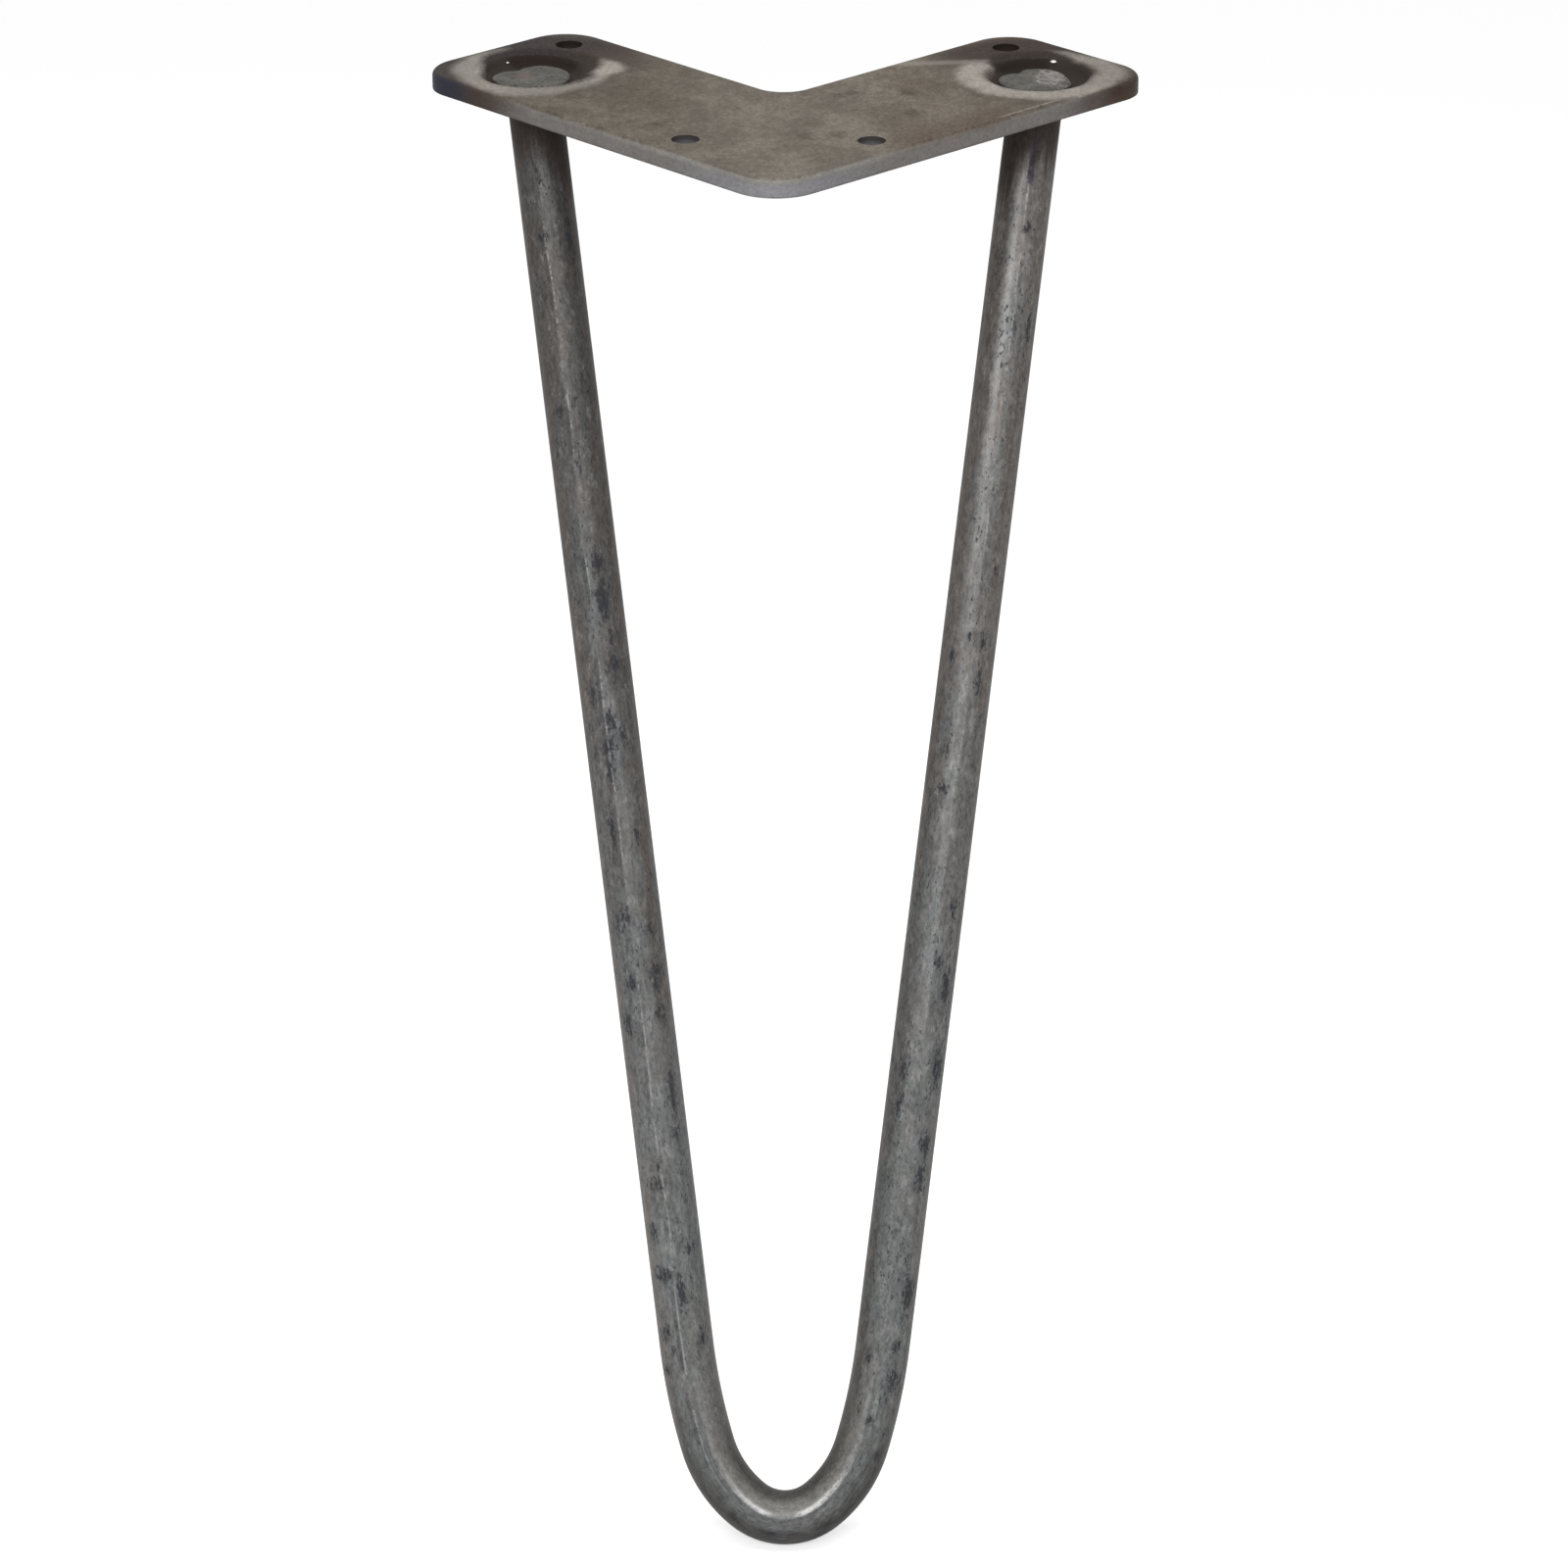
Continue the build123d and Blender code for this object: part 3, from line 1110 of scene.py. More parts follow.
@dataclass(frozen=True)
class PlateSteel:
    """Finish of the plate: brown-grey rolled sheet, heat-marked round its welds, with sheared edges.

    Lengths are in millimetres. Directions round a seat are in degrees, from the plate's outside towards its
    back. The layers to_back, to_outside and to_gap are cosines of the angle off a direction. The layer reach
    is the distance from a seat's middle, from_edge that from the front edge, and inset that from the arm's
    end.

    Attributes:
        specular: the shader's specular level.
        edge_tint: how much of the white surroundings shows at a glancing angle.
        depth: depth of the relief, in metres.
        plain_light: tone of the underside.
        halves: X where the right half begins and where it is full.
        seat_core: distance from a seat's middle within which directions fade.
        edge_draw: how many times finer the noise is down the plate's edge.
        noises: noise over the sheet, by layer.
        wander: noise that bends the outlines of marks.
        ragged: noise that frays them.
        ways: the direction of each layer that is read off one.
        drifts: changes of the rings and of the soot in some directions, by layer.
        layers: what the looks are worked out from, in order.
        haze_all_round: how much of the haze lies on all sides of a seat.
        frayed_streak: how full the pale streak is across its width.
        stain_fray: distance from a stain's middle, frayed.
        stain_edge: where a stain ends and where it is full, as shares of its radius.
        smudge: coat along the right arm.
        stain: coat of a stain.
        heat: coats round the seats, from the lowest up.
        edge_smudge: the smudge where it runs over the top edge.
        scorching: coats on the edges, from the lowest up.
        scratch: coat of the painted highlight along the worn roll of the right arm's front edge.
        under_heat: coat round the bars on the underside.
    """

    specular: float = 0.08
    edge_tint: float = 0.6
    depth: float = 0.04 * MM
    brown: Colour = (0.114, 0.094, 0.074)
    grey: Colour = (0.168, 0.146, 0.117)
    rusty: Colour = (0.092, 0.068, 0.052)
    heat_ring: Colour = (0.300, 0.275, 0.245)
    burnt: Colour = (0.031, 0.021, 0.017)
    black: Colour = (0.018, 0.013, 0.010)
    rubbed: Colour = (0.205, 0.197, 0.184)
    rubbed_arm: Colour = (0.172, 0.162, 0.150)
    sheared: Colour = (0.226, 0.222, 0.234)
    sheared_arm: Colour = (0.168, 0.158, 0.152)
    plain_light: float = 0.62
    halves: Step = (-1.0, 1.0)
    seat_core: float = 1.0
    edge_draw: float = 2.2
    noises: Sequence[tuple[str, Grain]] = (
        ("clouds", Grain(0.06, 11.0, drawn=0.8)),
        ("smears", Grain(0.30, 12.0, drawn=0.8, detail=4.0, roughness=0.75)),
        ("grain", Grain(0.8, 13.0, drawn=0.6, roughness=0.8)),
    )
    wander: Grain = Grain(0.16, 14.0, detail=2.0, roughness=0.5)
    ragged: Grain = Grain(0.8, 15.0)
    ways: Sequence[tuple[str, float]] = (("to_outside", 0.0), ("to_back", 90.0), ("to_gap", 108.0))
    drifts: Sequence[tuple[str, Sequence[Drift]]] = (
        ("ring_drift", (
            Drift(Side.LEFT, 170.0, 0.94, 2.4),
            Drift(Side.LEFT, -30.0, 0.75, -1.8),
            Drift(Side.LEFT, -150.0, 0.75, -1.3),
            Drift(Side.RIGHT, 20.0, 0.80, 1.5),
        )),
        ("dimming", (
            Drift(Side.LEFT, -115.0, 0.45, 0.35),
            Drift(Side.RIGHT, 0.0, 0.40, 0.10),
            Drift(Side.RIGHT, -90.0, 0.50, 0.07),
        )),
        ("soot_drift", (
            Drift(Side.LEFT, 95.0, 0.0, 5.5),
            Drift(Side.LEFT, 180.0, 0.30, 1.9),
            Drift(Side.LEFT, 0.0, 0.50, -0.6),
            Drift(Side.RIGHT, 100.0, 0.60, 6.0),
            Drift(Side.RIGHT, 30.0, 0.70, 1.6),
        )),
    )
    layers: Sequence[Layer] = (
        # Ground, darker on the arms, with a rusty smudge along the right one
        Layer("left_arm", Part("x", (5.0, -40.0))),
        Layer("right_arm", Part("x", (20.0, 50.0))),
        Layer("tint", mix((0.1, 0.9), clouds=0.7, smears=0.3)),
        Layer("arms", mix(base=1.0, left_arm=-0.18, right_arm=-0.08)),
        Layer("light", "arms", mix(base=0.58, smears=0.10, grain=0.78)),
        Layer("smudge_width", mix((14.0, 4.0), base=-4.0, from_edge=1.0, wander=8.0)),
        Layer("smudge", "smudge_width", Part("x", (20.0, 29.0)), Part("x", (56.0, 46.0))),
        # Pale ring round each seat, broken off at its gap
        Layer("soft_reach", mix(base=-2.35, reach=1.0, wander=2.5, ragged=2.2)),
        Layer("from_gap", mix(base=-0.25, to_gap=1.0, wander=0.5)),
        Layer("open_left", "left", Part("from_gap", (0.82, 0.66))),
        Layer("open_right", "right", Part("from_gap", (0.88, 0.74))),
        Layer("open", mix(open_left=1.0, open_right=1.0)),
        Layer("ring", mix((19.8, 16.2), soft_reach=1.0, ring_drift=-1.0), "open"),
        Layer("ring_light", mix(base=0.74, grain=0.40, smears=0.16), mix(base=1.11, dimming=-1.0)),
        # Brown haze, soot, and a pale streak beside the right ring
        Layer("back_drift", Part("to_back", (-0.6, 1.0))),
        Layer("back_haze", Part("to_back", (-0.2, 0.9)), mix(base=0.74)),
        Layer("outside_haze", Part("to_outside", (-0.3, 0.8)), mix(base=0.64, left=-0.08)),
        Layer("wide_haze", mix((27.0, 17.0), soft_reach=1.0, back_drift=-7.0)),
        Layer("soot", mix((13.6, 10.0), soft_reach=1.0, soot_drift=-1.0)),
        Layer("streak_side", mix(base=-52.6, y=1.0, x=-0.12)),
        Layer("streak_length", Part("x", (16.0, 26.0)), Part("x", (51.0, 44.0))),
        # Edges, browned and blued by the welding, and a painted highlight along the worn roll of the right
        # one
        Layer("from_end", mix(base=-4.0, inset=1.0, wander=8.0)),
        Layer("browned_left", "left", Part("from_end", (42.0, 21.0))),
        Layer("browned_right", "right", Part("from_end", (33.0, 12.0))),
        Layer("blued", "left", Part("from_end", (21.0, 13.0))),
        Layer("worn", Part("off_middle", (45.0, 15.0))),
        Layer("arm", Part("off_middle", (4.0, 26.0))),
        Layer("wall", Part("z", (-0.9, -1.5))),
        Layer("wall_foot", Part("z", (-3.4, -3.9))),
        Layer("low", Part("z", (-2.0, -3.2))),
        Layer(
            "edge",
            mix((-0.18, -0.80), z=1.0, worn=-0.30, browned_left=-0.36, browned_right=-0.36),
            Part("reach", (12.0, 13.0)),
            mix(base=1.0, bores=-1.0),
        ),
        Layer("rubbed_light", mix(base=0.78, smears=0.14, grain=0.30)),
        Layer("sheared_light", mix(base=0.78, smears=0.10, grain=0.34), mix(base=1.0, wall_foot=-0.2)),
        Layer("scratch_line", Part("from_edge", Band(1.5, 0.5, 0.15)), Part("grain", (0.1, 0.5))),
        Layer("scratch", "scratch_line", Part("x", (46.0, 49.0)), Part("x", (62.0, 58.0))),
        # Bores and underside
        Layer("bore_depth", Part("z", (-0.6, -1.9))),
        Layer("under", Part("z", (-3.9, -3.99))),
        Layer("under_heat", Part("soft_reach", (22.0, 8.0))),
        # Sheen and relief
        Layer("roughness", mix(base=0.495, grain=0.25, ring=0.1, soot=0.1, edge=-0.08)),
        Layer("metallic", mix(base=0.10, soot=-0.1)),
        Layer("relief", mix(grain=0.7, smears=0.3)),
    )
    haze_all_round: float = 0.22
    frayed_streak: Part = mix((2.6, 0.4), base=-1.0, off_streak=1.0, ragged=2.0)
    stain_fray: Part = mix(base=-4.25, off_stain=1.0, ragged=7.0, smears=1.5)
    stain_edge: Step = (1.6, 0.1)
    smudge: Coat = Coat("smudge", rusty, 0.72, mix(base=0.6, grain=0.8))
    stain: Coat = Coat("stain", (0.070, 0.056, 0.043), 0.8, mix(base=0.7, grain=0.6))
    heat: Sequence[Coat] = (
        Coat("haze", burnt, 1.0, mix(base=0.8, grain=0.3, smears=0.1)),
        Coat("ring", heat_ring, 0.92, mix(ring_light=1.0)),
        Coat("streak", heat_ring, 0.45),
        Coat("soot", black, 0.95),
    )
    edge_smudge: Coat = Coat("smudge", rusty, 0.35)
    scorching: Sequence[Coat] = (
        Coat("browned_left", (0.046, 0.030, 0.022), 0.92, mix(base=0.75, grain=0.5)),
        Coat("browned_right", (0.038, 0.022, 0.0155), 0.92, mix(base=0.75, grain=0.5, low=0.4)),
        Coat("blued", (0.0265, 0.0277, 0.041), 0.9),
    )
    # Painted highlight along the worn roll of the right arm's front edge
    scratch: Coat = Coat("scratch", heat_ring, 0.6)
    under_heat: Coat = Coat("under_heat", burnt, 0.8, mix(base=0.8, grain=0.4))

    def lay_places(self, steel: Finish, plate: "MountingPlate") -> None:
        """Layers of place and noise.

        Args:
            steel: the finish to lay them in.
            plate: the plate that it goes on.
        """
        n, layers = steel.nodes, steel.layers
        place = steel.place_mm()
        x, y, z = n.parts(place)
        right = x.rise(self.halves)
        layers.update(x=x, y=y, z=z, off_middle=abs(x), left=1.0 - right, right=right)
        for name, grain in self.noises:
            layers[name] = n.mottle(n.combined(x / grain.drawn, y, z * self.edge_draw), grain)
        layers.update(wander=n.noise(place, self.wander), ragged=n.noise(place, self.ragged))
        seat_x, seat_y = plate.seat_mm()
        across, back = abs(x) - seat_x, y - seat_y
        layers.update(across=across, back=back, reach=n.math("SQRT", across ** 2.0 + back ** 2.0))
        layers["from_edge"] = (y - plate.corner_y - abs(x)) * DIAGONAL
        layers["inset"] = plate.end_inset - (across + back) * DIAGONAL
        for name, way in self.ways:
            layers[name] = self.toward(steel, way)
        for name, drifts in self.drifts:
            layers[name] = sum(self.drifted(steel, drift) for drift in drifts)

    def toward(self, steel: Finish, way: float) -> Wire:
        """How far a place round a seat lies in one direction.

        Args:
            steel: the finish with its layers.
            way: the direction.

        Returns:
            1 where the place lies in that direction, -1 where it lies opposite.
        """
        turn, layers = math.radians(way), steel.layers
        ahead = layers["across"] * math.cos(turn) + layers["back"] * math.sin(turn)
        return ahead / steel.nodes.math("MAXIMUM", layers["reach"], self.seat_core)

    def drifted(self, steel: Finish, drift: Drift) -> Wire:
        """The change that one drift makes to a mark."""
        share = self.toward(steel, drift.way).rise((drift.start, 1.0))
        return share * steel.layers[drift.side.name.lower()] * drift.reach

    def edge_colour(self, steel: Finish) -> Wire:
        """Colour of the rolled top edge and of the sheared wall below it.

        Args:
            steel: the finish with its layers.

        Returns:
            The colour.
        """
        n, layers = steel.nodes, steel.layers
        rolled = n.scaled(n.blend(layers["worn"], self.rubbed_arm, self.rubbed), layers["rubbed_light"])
        sheared = n.scaled(n.blend(layers["arm"], self.sheared, self.sheared_arm), layers["sheared_light"])
        edge = n.blend(layers["wall"], steel.coated(rolled, self.edge_smudge), sheared)
        return steel.coated(edge, *self.scorching)

    def stained(self, steel: Finish, colour: Wire, spots: Sequence[tuple[float, float, float]]) -> Wire:
        """Lays ragged dark spots over a colour.

        Args:
            steel: the finish with its layers.
            colour: the colour below.
            spots: place and radius of each spot.

        Returns:
            The colour with its spots.
        """
        n, layers = steel.nodes, steel.layers
        outer, inner = self.stain_edge
        for spot_x, spot_y, radius in spots:
            layers["off_stain"] = n.distance(n.combined(layers["x"], layers["y"], 0.0), (spot_x, spot_y, 0.0))
            layers["stain"] = steel.value(self.stain_fray).rise((radius * outer, radius * inner))
            colour = steel.coated(colour, self.stain)
        return colour

    def build(self, plate: "MountingPlate") -> bpy.types.Material:
        """Makes the material.

        Args:
            plate: the plate that it goes on.

        Returns:
            The material.
        """
        steel = Finish("plate_steel_sheet", self.specular, self.edge_tint)
        n, layers = steel.nodes, steel.layers
        self.lay_places(steel, plate)
        flat = n.combined(layers["off_middle"], layers["y"], 0.0)
        bores = [n.distance(flat, (*hole, 0.0)).rise(plate.bore_edge()) for hole in plate.holes_mm()]
        layers["bores"] = n.most(*bores)
        steel.lay(self.layers)
        sided = n.most(layers["back_haze"], layers["outside_haze"])
        layers["haze"] = layers["wide_haze"] * (self.haze_all_round + sided)
        layers["off_streak"] = abs(layers["streak_side"])
        layers["streak"] = steel.value(self.frayed_streak) * layers["streak_length"]

        sheet = steel.coated(steel.ground(self.brown, self.grey), self.smudge)
        colour = steel.coated(self.stained(steel, sheet, plate.stains), *self.heat)
        colour = n.blend(layers["edge"], colour, self.edge_colour(steel))
        colour = steel.coated(colour, self.scratch)
        # Painted shade inside the screw holes: their walls go nearly black, less so lower down in the front
        # ones
        for bore, (upper, lower) in zip(bores, plate.hole_soot):
            sooty = upper + layers["bore_depth"] * (lower - upper)
            colour = n.blend(bore, colour, n.blend(sooty, self.sheared, self.black))
        underside = steel.coated(n.scaled(sheet, self.plain_light), self.under_heat)
        return steel.finish(n.blend(layers["under"], colour, underside), self.depth)


@dataclass(frozen=True)
class MountingPlate:
    """The V-shaped plate, which keeps its own solid and takes its marks from where its seats and holes lie.

    Lengths are in millimetres, apart from the places of seats and holes.

    Attributes:
        seats: middle of each weld seat.
        holes: the right-hand screw holes.
        hole_r: radius of a screw hole.
        hole_margin: how far past that radius its wall's looks begin and are full.
        hole_soot: painted shade inside the front and the rear holes, how dark at the top and lower down.
        end_inset: from a seat's middle to the arm's end.
        corner_y: Y of the plate's sharp corner.
        stains: place and radius of the dark spots.
    """

    seats: Mapping[Side, Vector]
    holes: Sequence[Vector]
    hole_r: float = 3.0
    hole_margin: Step = (0.12, 0.03)
    hole_soot: Sequence[tuple[float, float]] = ((0.85, 0.55), (1.0, 0.95))
    end_inset: float = 19.6
    corner_y: float = -31.89
    stains: Sequence[tuple[float, float, float]] = (
        (5.3, 3.4, 2.6), (12.1, 3.5, 2.4), (15.0, 33.5, 2.0), (12.4, 32.0, 1.6),
        (26.8, 34.7, 2.2), (28.0, 20.0, 2.6), (-25.5, 10.0, 2.0),
    )

    def bore_edge(self) -> Step:
        """Where a hole's wall begins, and where its looks are full."""
        start, full = self.hole_margin
        return self.hole_r + start, self.hole_r + full

    def seat_mm(self) -> tuple[float, float]:
        """The right seat's X and Y, in millimetres."""
        seat = self.seats[Side.RIGHT] * PER_METRE
        return seat.x, seat.y

    def holes_mm(self) -> list[tuple[float, float]]:
        """X and Y of the right-hand screw holes, in millimetres."""
        return [(hole.x * PER_METRE, hole.y * PER_METRE) for hole in self.holes]

    def dress(self, node: bpy.types.Object, finish: PlateSteel) -> None:
        """Gives the plate's solid its finish.

        Args:
            node: the plate's solid.
            finish: its steel.
        """
        node.material_slots[0].material = finish.build(self)


@dataclass(frozen=True)
class WeldMetal:
    """Finish of the plug welds: dull green-grey, with a fresh flaked patch and a rusty middle.

    Lengths are in millimetres. The layer off_flake is 1 on the flaked patch's outline.

    Attributes:
        specular: the shader's specular level.
        depth: depth of the relief, in metres.
        clouds: noise that blends the dull and the pale metal.
        grain: fine noise over all of it.
        ragged: noise that frays the patches.
        specks: noise of the dark specks.
        flake_place: middle of the flaked patch, on the right weld.
        flake_size: half its width and half its depth.
        rust_place: middle of the rust, on the left weld.
        layers: what the looks are worked out from, in order.
        coats: colours over the bare metal, from the lowest up.
    """

    specular: float = 0.12
    depth: float = 0.05 * MM
    dull: Colour = (0.066, 0.063, 0.054)
    pale: Colour = (0.118, 0.112, 0.098)
    clouds: Grain = Grain(0.35, 21.0)
    grain: Grain = Grain(1.8, 22.0, roughness=0.75)
    ragged: Grain = Grain(0.9, 23.0, roughness=0.7)
    specks: Grain = Grain(1.2, 24.0, detail=4.0, roughness=0.75)
    flake_place: tuple[float, float] = (58.4, 49.4)
    flake_size: tuple[float, float] = (3.7, 5.9)
    rust_place: tuple[float, float] = (-57.0, 48.0)
    layers: Sequence[Layer] = (
        Layer("light", mix(base=0.50, grain=0.92)),
        Layer("speck", Part("specks", (0.53, 0.61))),
        Layer("scaly", Part("ragged", (0.58, 0.40))),
        Layer(
            "flake",
            mix((1.04, 0.66), base=-1.7, off_flake=1.0, ragged=2.6, specks=0.8),
            mix(base=0.30, scaly=0.62),
        ),
        Layer("rust", mix((2.6, 0.8), base=-1.5, off_rust=1.0, ragged=3.0)),
        # Painted shade round the foot of the weld, where it meets the dish floor
        Layer("rim", Part("z", (-1.2, -1.5))),
        Layer("roughness", mix(base=0.43, grain=0.3, flake=-0.1)),
        Layer("metallic", mix(base=0.2)),
        Layer("relief", mix(grain=0.6, ragged=0.4)),
    )
    coats: Sequence[Coat] = (
        Coat("speck", (0.040, 0.031, 0.026), 0.8),
        Coat("flake", (0.290, 0.264, 0.251), 1.0, mix(base=0.72, grain=0.4)),
        Coat("rust", (0.150, 0.092, 0.078), 0.6),
        # Painted shade round the foot of the weld
        Coat("rim", (0.030, 0.026, 0.023)),
    )

    def build(self) -> bpy.types.Material:
        """Makes the material.

        Returns:
            The material.
        """
        steel = Finish("weld_metal_plug", self.specular)
        n, layers = steel.nodes, steel.layers
        place = steel.place_mm()
        x, y, z = n.parts(place)
        layers.update(z=z, tint=n.mottle(place, self.clouds), grain=n.mottle(place, self.grain))
        layers.update(ragged=n.noise(place, self.ragged), specks=n.noise(place, self.specks))
        (flake_x, flake_y), (half_x, half_y) = self.flake_place, self.flake_size
        off_flake = ((x - flake_x) / half_x) ** 2.0 + ((y - flake_y) / half_y) ** 2.0
        layers["off_flake"] = n.math("SQRT", off_flake)
        layers["off_rust"] = n.distance(n.combined(x, y, 0.0), (*self.rust_place, 0.0))
        steel.lay(self.layers)
        return steel.finish(steel.coated(steel.ground(self.dull, self.pale), *self.coats), self.depth)


@dataclass(frozen=True)
class SpatterMetal:
    """Finish of the spatter: real drops, white as a painted glint on each."""

    bright: Colour = (0.72, 0.70, 0.66)
    metallic: float = 0.6
    roughness: float = 0.35
    specular: float = 0.5

    def build(self) -> bpy.types.Material:
        """Makes the material.

        Returns:
            The material.
        """
        steel = Finish("spatter_bright", self.specular)
        values = {"Base Color": self.bright, "Metallic": self.metallic, "Roughness": self.roughness}
        for name, value in values.items():
            steel.nodes.join(value, steel.shader.inputs[name])
        return steel.material


@dataclass(frozen=True)
class Bay:
    """A bay in a weld's outline, or a swelling where its depth is below zero.

    Attributes:
        side: which weld.
        way: its direction, in degrees from +X towards +Y.
        depth: as a share of the weld's radius.
        width: half its width, in degrees.
    """

    side: Side
    way: float
    depth: float
    width: float


@dataclass(frozen=True)
class PlugWeld:
    """A plug weld in its dish: a low lumpy button with bays in its outline.

    Attributes:
        side: which arm it lies on.
        seat: middle of the seat's floor.
        radius: widest reach of the button.
        height: of its edge above the floor.
        crown: further rise to its middle.
        bays: the bays of both welds.
        ripple: how far the outline wanders, as a share of the radius.
        ripple_scale: how quickly it wanders.
        ripple_seed: picks its pattern.
        lumps: unevenness of the top.
        lump_layers: scale and weight of each layer of lumps.
        lump_seed: picks their pattern.
        shoulder: power of the curve that rounds the edge.
        rings: rings of points from the middle to the edge.
        spokes: points in a ring.
    """

    side: Side
    seat: Vector
    radius: float
    height: float
    crown: float = 0.15 * MM
    bays: Sequence[Bay] = (
        Bay(Side.LEFT, 129.0, 0.33, 26.0),
        Bay(Side.LEFT, 45.0, -0.04, 28.0),
        Bay(Side.LEFT, -170.0, -0.03, 25.0),
        Bay(Side.RIGHT, 134.0, 0.22, 17.0),
        Bay(Side.RIGHT, 15.0, 0.19, 38.0),
        Bay(Side.RIGHT, 174.0, -0.04, 25.0),
        Bay(Side.RIGHT, 92.0, -0.05, 22.0),
    )
    ripple: float = 0.03
    ripple_scale: float = 2.2
    ripple_seed: float = 3.0
    lumps: float = 0.12 * MM
    lump_layers: Sequence[tuple[float, float]] = ((2.5, 1.0), (6.0, 0.45))
    lump_seed: float = 5.0
    shoulder: int = 14
    rings: int = 26
    spokes: int = 128

    def reach(self, angle: float) -> float:
        """Radius of the outline.

        Args:
            angle: direction from the middle, in radians.

        Returns:
            The radius there.
        """
        scale, seed = self.ripple_scale, self.ripple_seed * self.side.value
        wander = noise.noise(Vector((scale * math.cos(angle), scale * math.sin(angle), seed)))
        share = 1.0 - self.ripple + self.ripple * wander
        for bay in self.bays:
            if bay.side is self.side:
                off_bay = math.remainder(angle - math.radians(bay.way), math.tau) / math.radians(bay.width)
                share -= bay.depth * math.exp(-(off_bay ** 2))
        return self.radius * share

    def top(self, share: float, angle: float) -> float:
        """Height of the skin above the seat's floor.

        Args:
            share: of the way from the middle to the outline.
            angle: direction from the middle, in radians.

        Returns:
            The height.
        """
        spot = Vector((share * math.cos(angle), share * math.sin(angle), self.lump_seed * self.side.value))
        lump = sum(weight * noise.noise(spot * scale) for scale, weight in self.lump_layers)
        shoulder = math.sqrt(max(0.0, 1.0 - share ** self.shoulder))
        return (self.height + self.crown * (1.0 - share ** 2) + self.lumps * lump) * shoulder

    def mesh(self) -> bpy.types.Mesh:
        """Rings of points from the middle to the outline, closed by a flat underside.

        Returns:
            The mesh, in place.
        """
        shape = bmesh.new()
        middle = shape.verts.new(self.seat + Vector((0, 0, self.top(0.0, 0.0))))
        rings = []
        for ring in range(1, self.rings + 1):
            share = math.sin(math.pi / 2 * ring / self.rings)
            loop = []
            for spoke in range(self.spokes):
                angle = math.tau * spoke / self.spokes
                reach = share * self.reach(angle)
                spot = Vector((reach * math.cos(angle), reach * math.sin(angle), self.top(share, angle)))
                loop.append(shape.verts.new(self.seat + spot))
            rings.append(loop)
        for spoke in range(self.spokes):
            after = (spoke + 1) % self.spokes
            shape.faces.new((middle, rings[0][spoke], rings[0][after]))
            for inner, outer in zip(rings, rings[1:]):
                shape.faces.new((inner[spoke], outer[spoke], outer[after], inner[after]))
        shape.faces.new(list(reversed(rings[-1])))
        for face in shape.faces:
            face.smooth = len(face.verts) <= 4
        made = bpy.data.meshes.new("plug_weld")
        shape.to_mesh(made)
        shape.free()
        return made

    def build(self, material: bpy.types.Material) -> bpy.types.Object:
        """Makes the weld.

        Args:
            material: weld metal.

        Returns:
            The piece that stands for the weld's solid.
        """
        name = self.side.name.lower()
        piece = new_piece(f"{name}_plug_weld", self.mesh())
        piece.data.materials.append(material)
        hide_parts(f"{name}_weld")
        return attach(piece, BODY)


@dataclass(frozen=True)
class Drop:
    """A drop of spatter.

    Attributes:
        side: the dish it lies in.
        reach: distance from the seat's middle, in millimetres.
        way: its direction, in degrees from +X towards +Y.
        width: in millimetres.
    """

    side: Side
    reach: float
    way: float
    width: float


@dataclass(frozen=True)
class Spatter:
    """Drops of weld metal on the slopes of the dishes.

    Attributes:
        seats: middle of each seat's floor.
        floor_r: radius of a dish's flat floor, in millimetres.
        wall: width of a dish's curved wall, in millimetres.
        drops: the drops in both dishes.
        squash: height of a drop as a share of its width.
        facets: rings and segments of a drop.
    """

    seats: Mapping[Side, Vector]
    floor_r: float = 9.18
    wall: float = 3.2
    drops: Sequence[Drop] = (
        Drop(Side.RIGHT, 11.4, 72.0, 1.4),
        Drop(Side.LEFT, 10.8, 123.5, 0.7),
        Drop(Side.LEFT, 9.4, -157.0, 0.5),
    )
    squash: float = 0.45
    facets: int = 16

    def place(self, drop: Drop) -> Vector:
        """Where a drop lies on its dish's wall.

        Args:
            drop: the drop.

        Returns:
            Its middle.
        """
        share = min(1.0, max(0.0, (drop.reach - self.floor_r) / self.wall))
        climb = 2 * share ** 2 if share < 0.5 else 1 - 2 * (1 - share) ** 2
        turn, reach, seat = math.radians(drop.way), drop.reach * MM, self.seats[drop.side]
        return seat + Vector((reach * math.cos(turn), reach * math.sin(turn), -seat.z * climb))

    def tree(self, material: bpy.types.Material) -> GeometryTree:
        """Sets a flattened ball on each point of the host.

        Args:
            material: the drops' finish, white as a painted glint.

        Returns:
            The Geometry Nodes group.
        """
        values = {"Facets": self.facets, "Squash": self.squash, "Material": material}
        tree = GeometryTree("Spatter drops", values)
        n, given = tree.nodes, tree.inputs
        ball = n.node(
            "GeometryNodeMeshUVSphere", None,
            {"Segments": given["Facets"], "Rings": given["Facets"], "Radius": 0.5},
        )
        width = tree.named("drop_width", "FLOAT")
        drops = n.node(
            "GeometryNodeInstanceOnPoints", None,
            {
                "Points": given["Geometry"],
                "Instance": n.out(ball),
                "Scale": n.combined(width, width, width * given["Squash"]),
            },
        )
        smooth = n.node("GeometryNodeSetShadeSmooth", None, {0: n.out(drops)})
        tree.close(n.out(smooth))
        return tree

    def build(self, material: bpy.types.Material) -> bpy.types.Object:
        """Makes the drops as one piece.

        Args:
            material: the drops' finish, white as a painted glint.

        Returns:
            The piece.
        """
        host = bpy.data.meshes.new("drop_places")
        host.from_pydata([self.place(drop) for drop in self.drops], [], [])
        widths = [drop.width * MM for drop in self.drops]
        host.attributes.new("drop_width", "FLOAT", "POINT").data.foreach_set("value", widths)
        piece = self.tree(material).run("weld_spatter", host)
        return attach(piece, BODY)


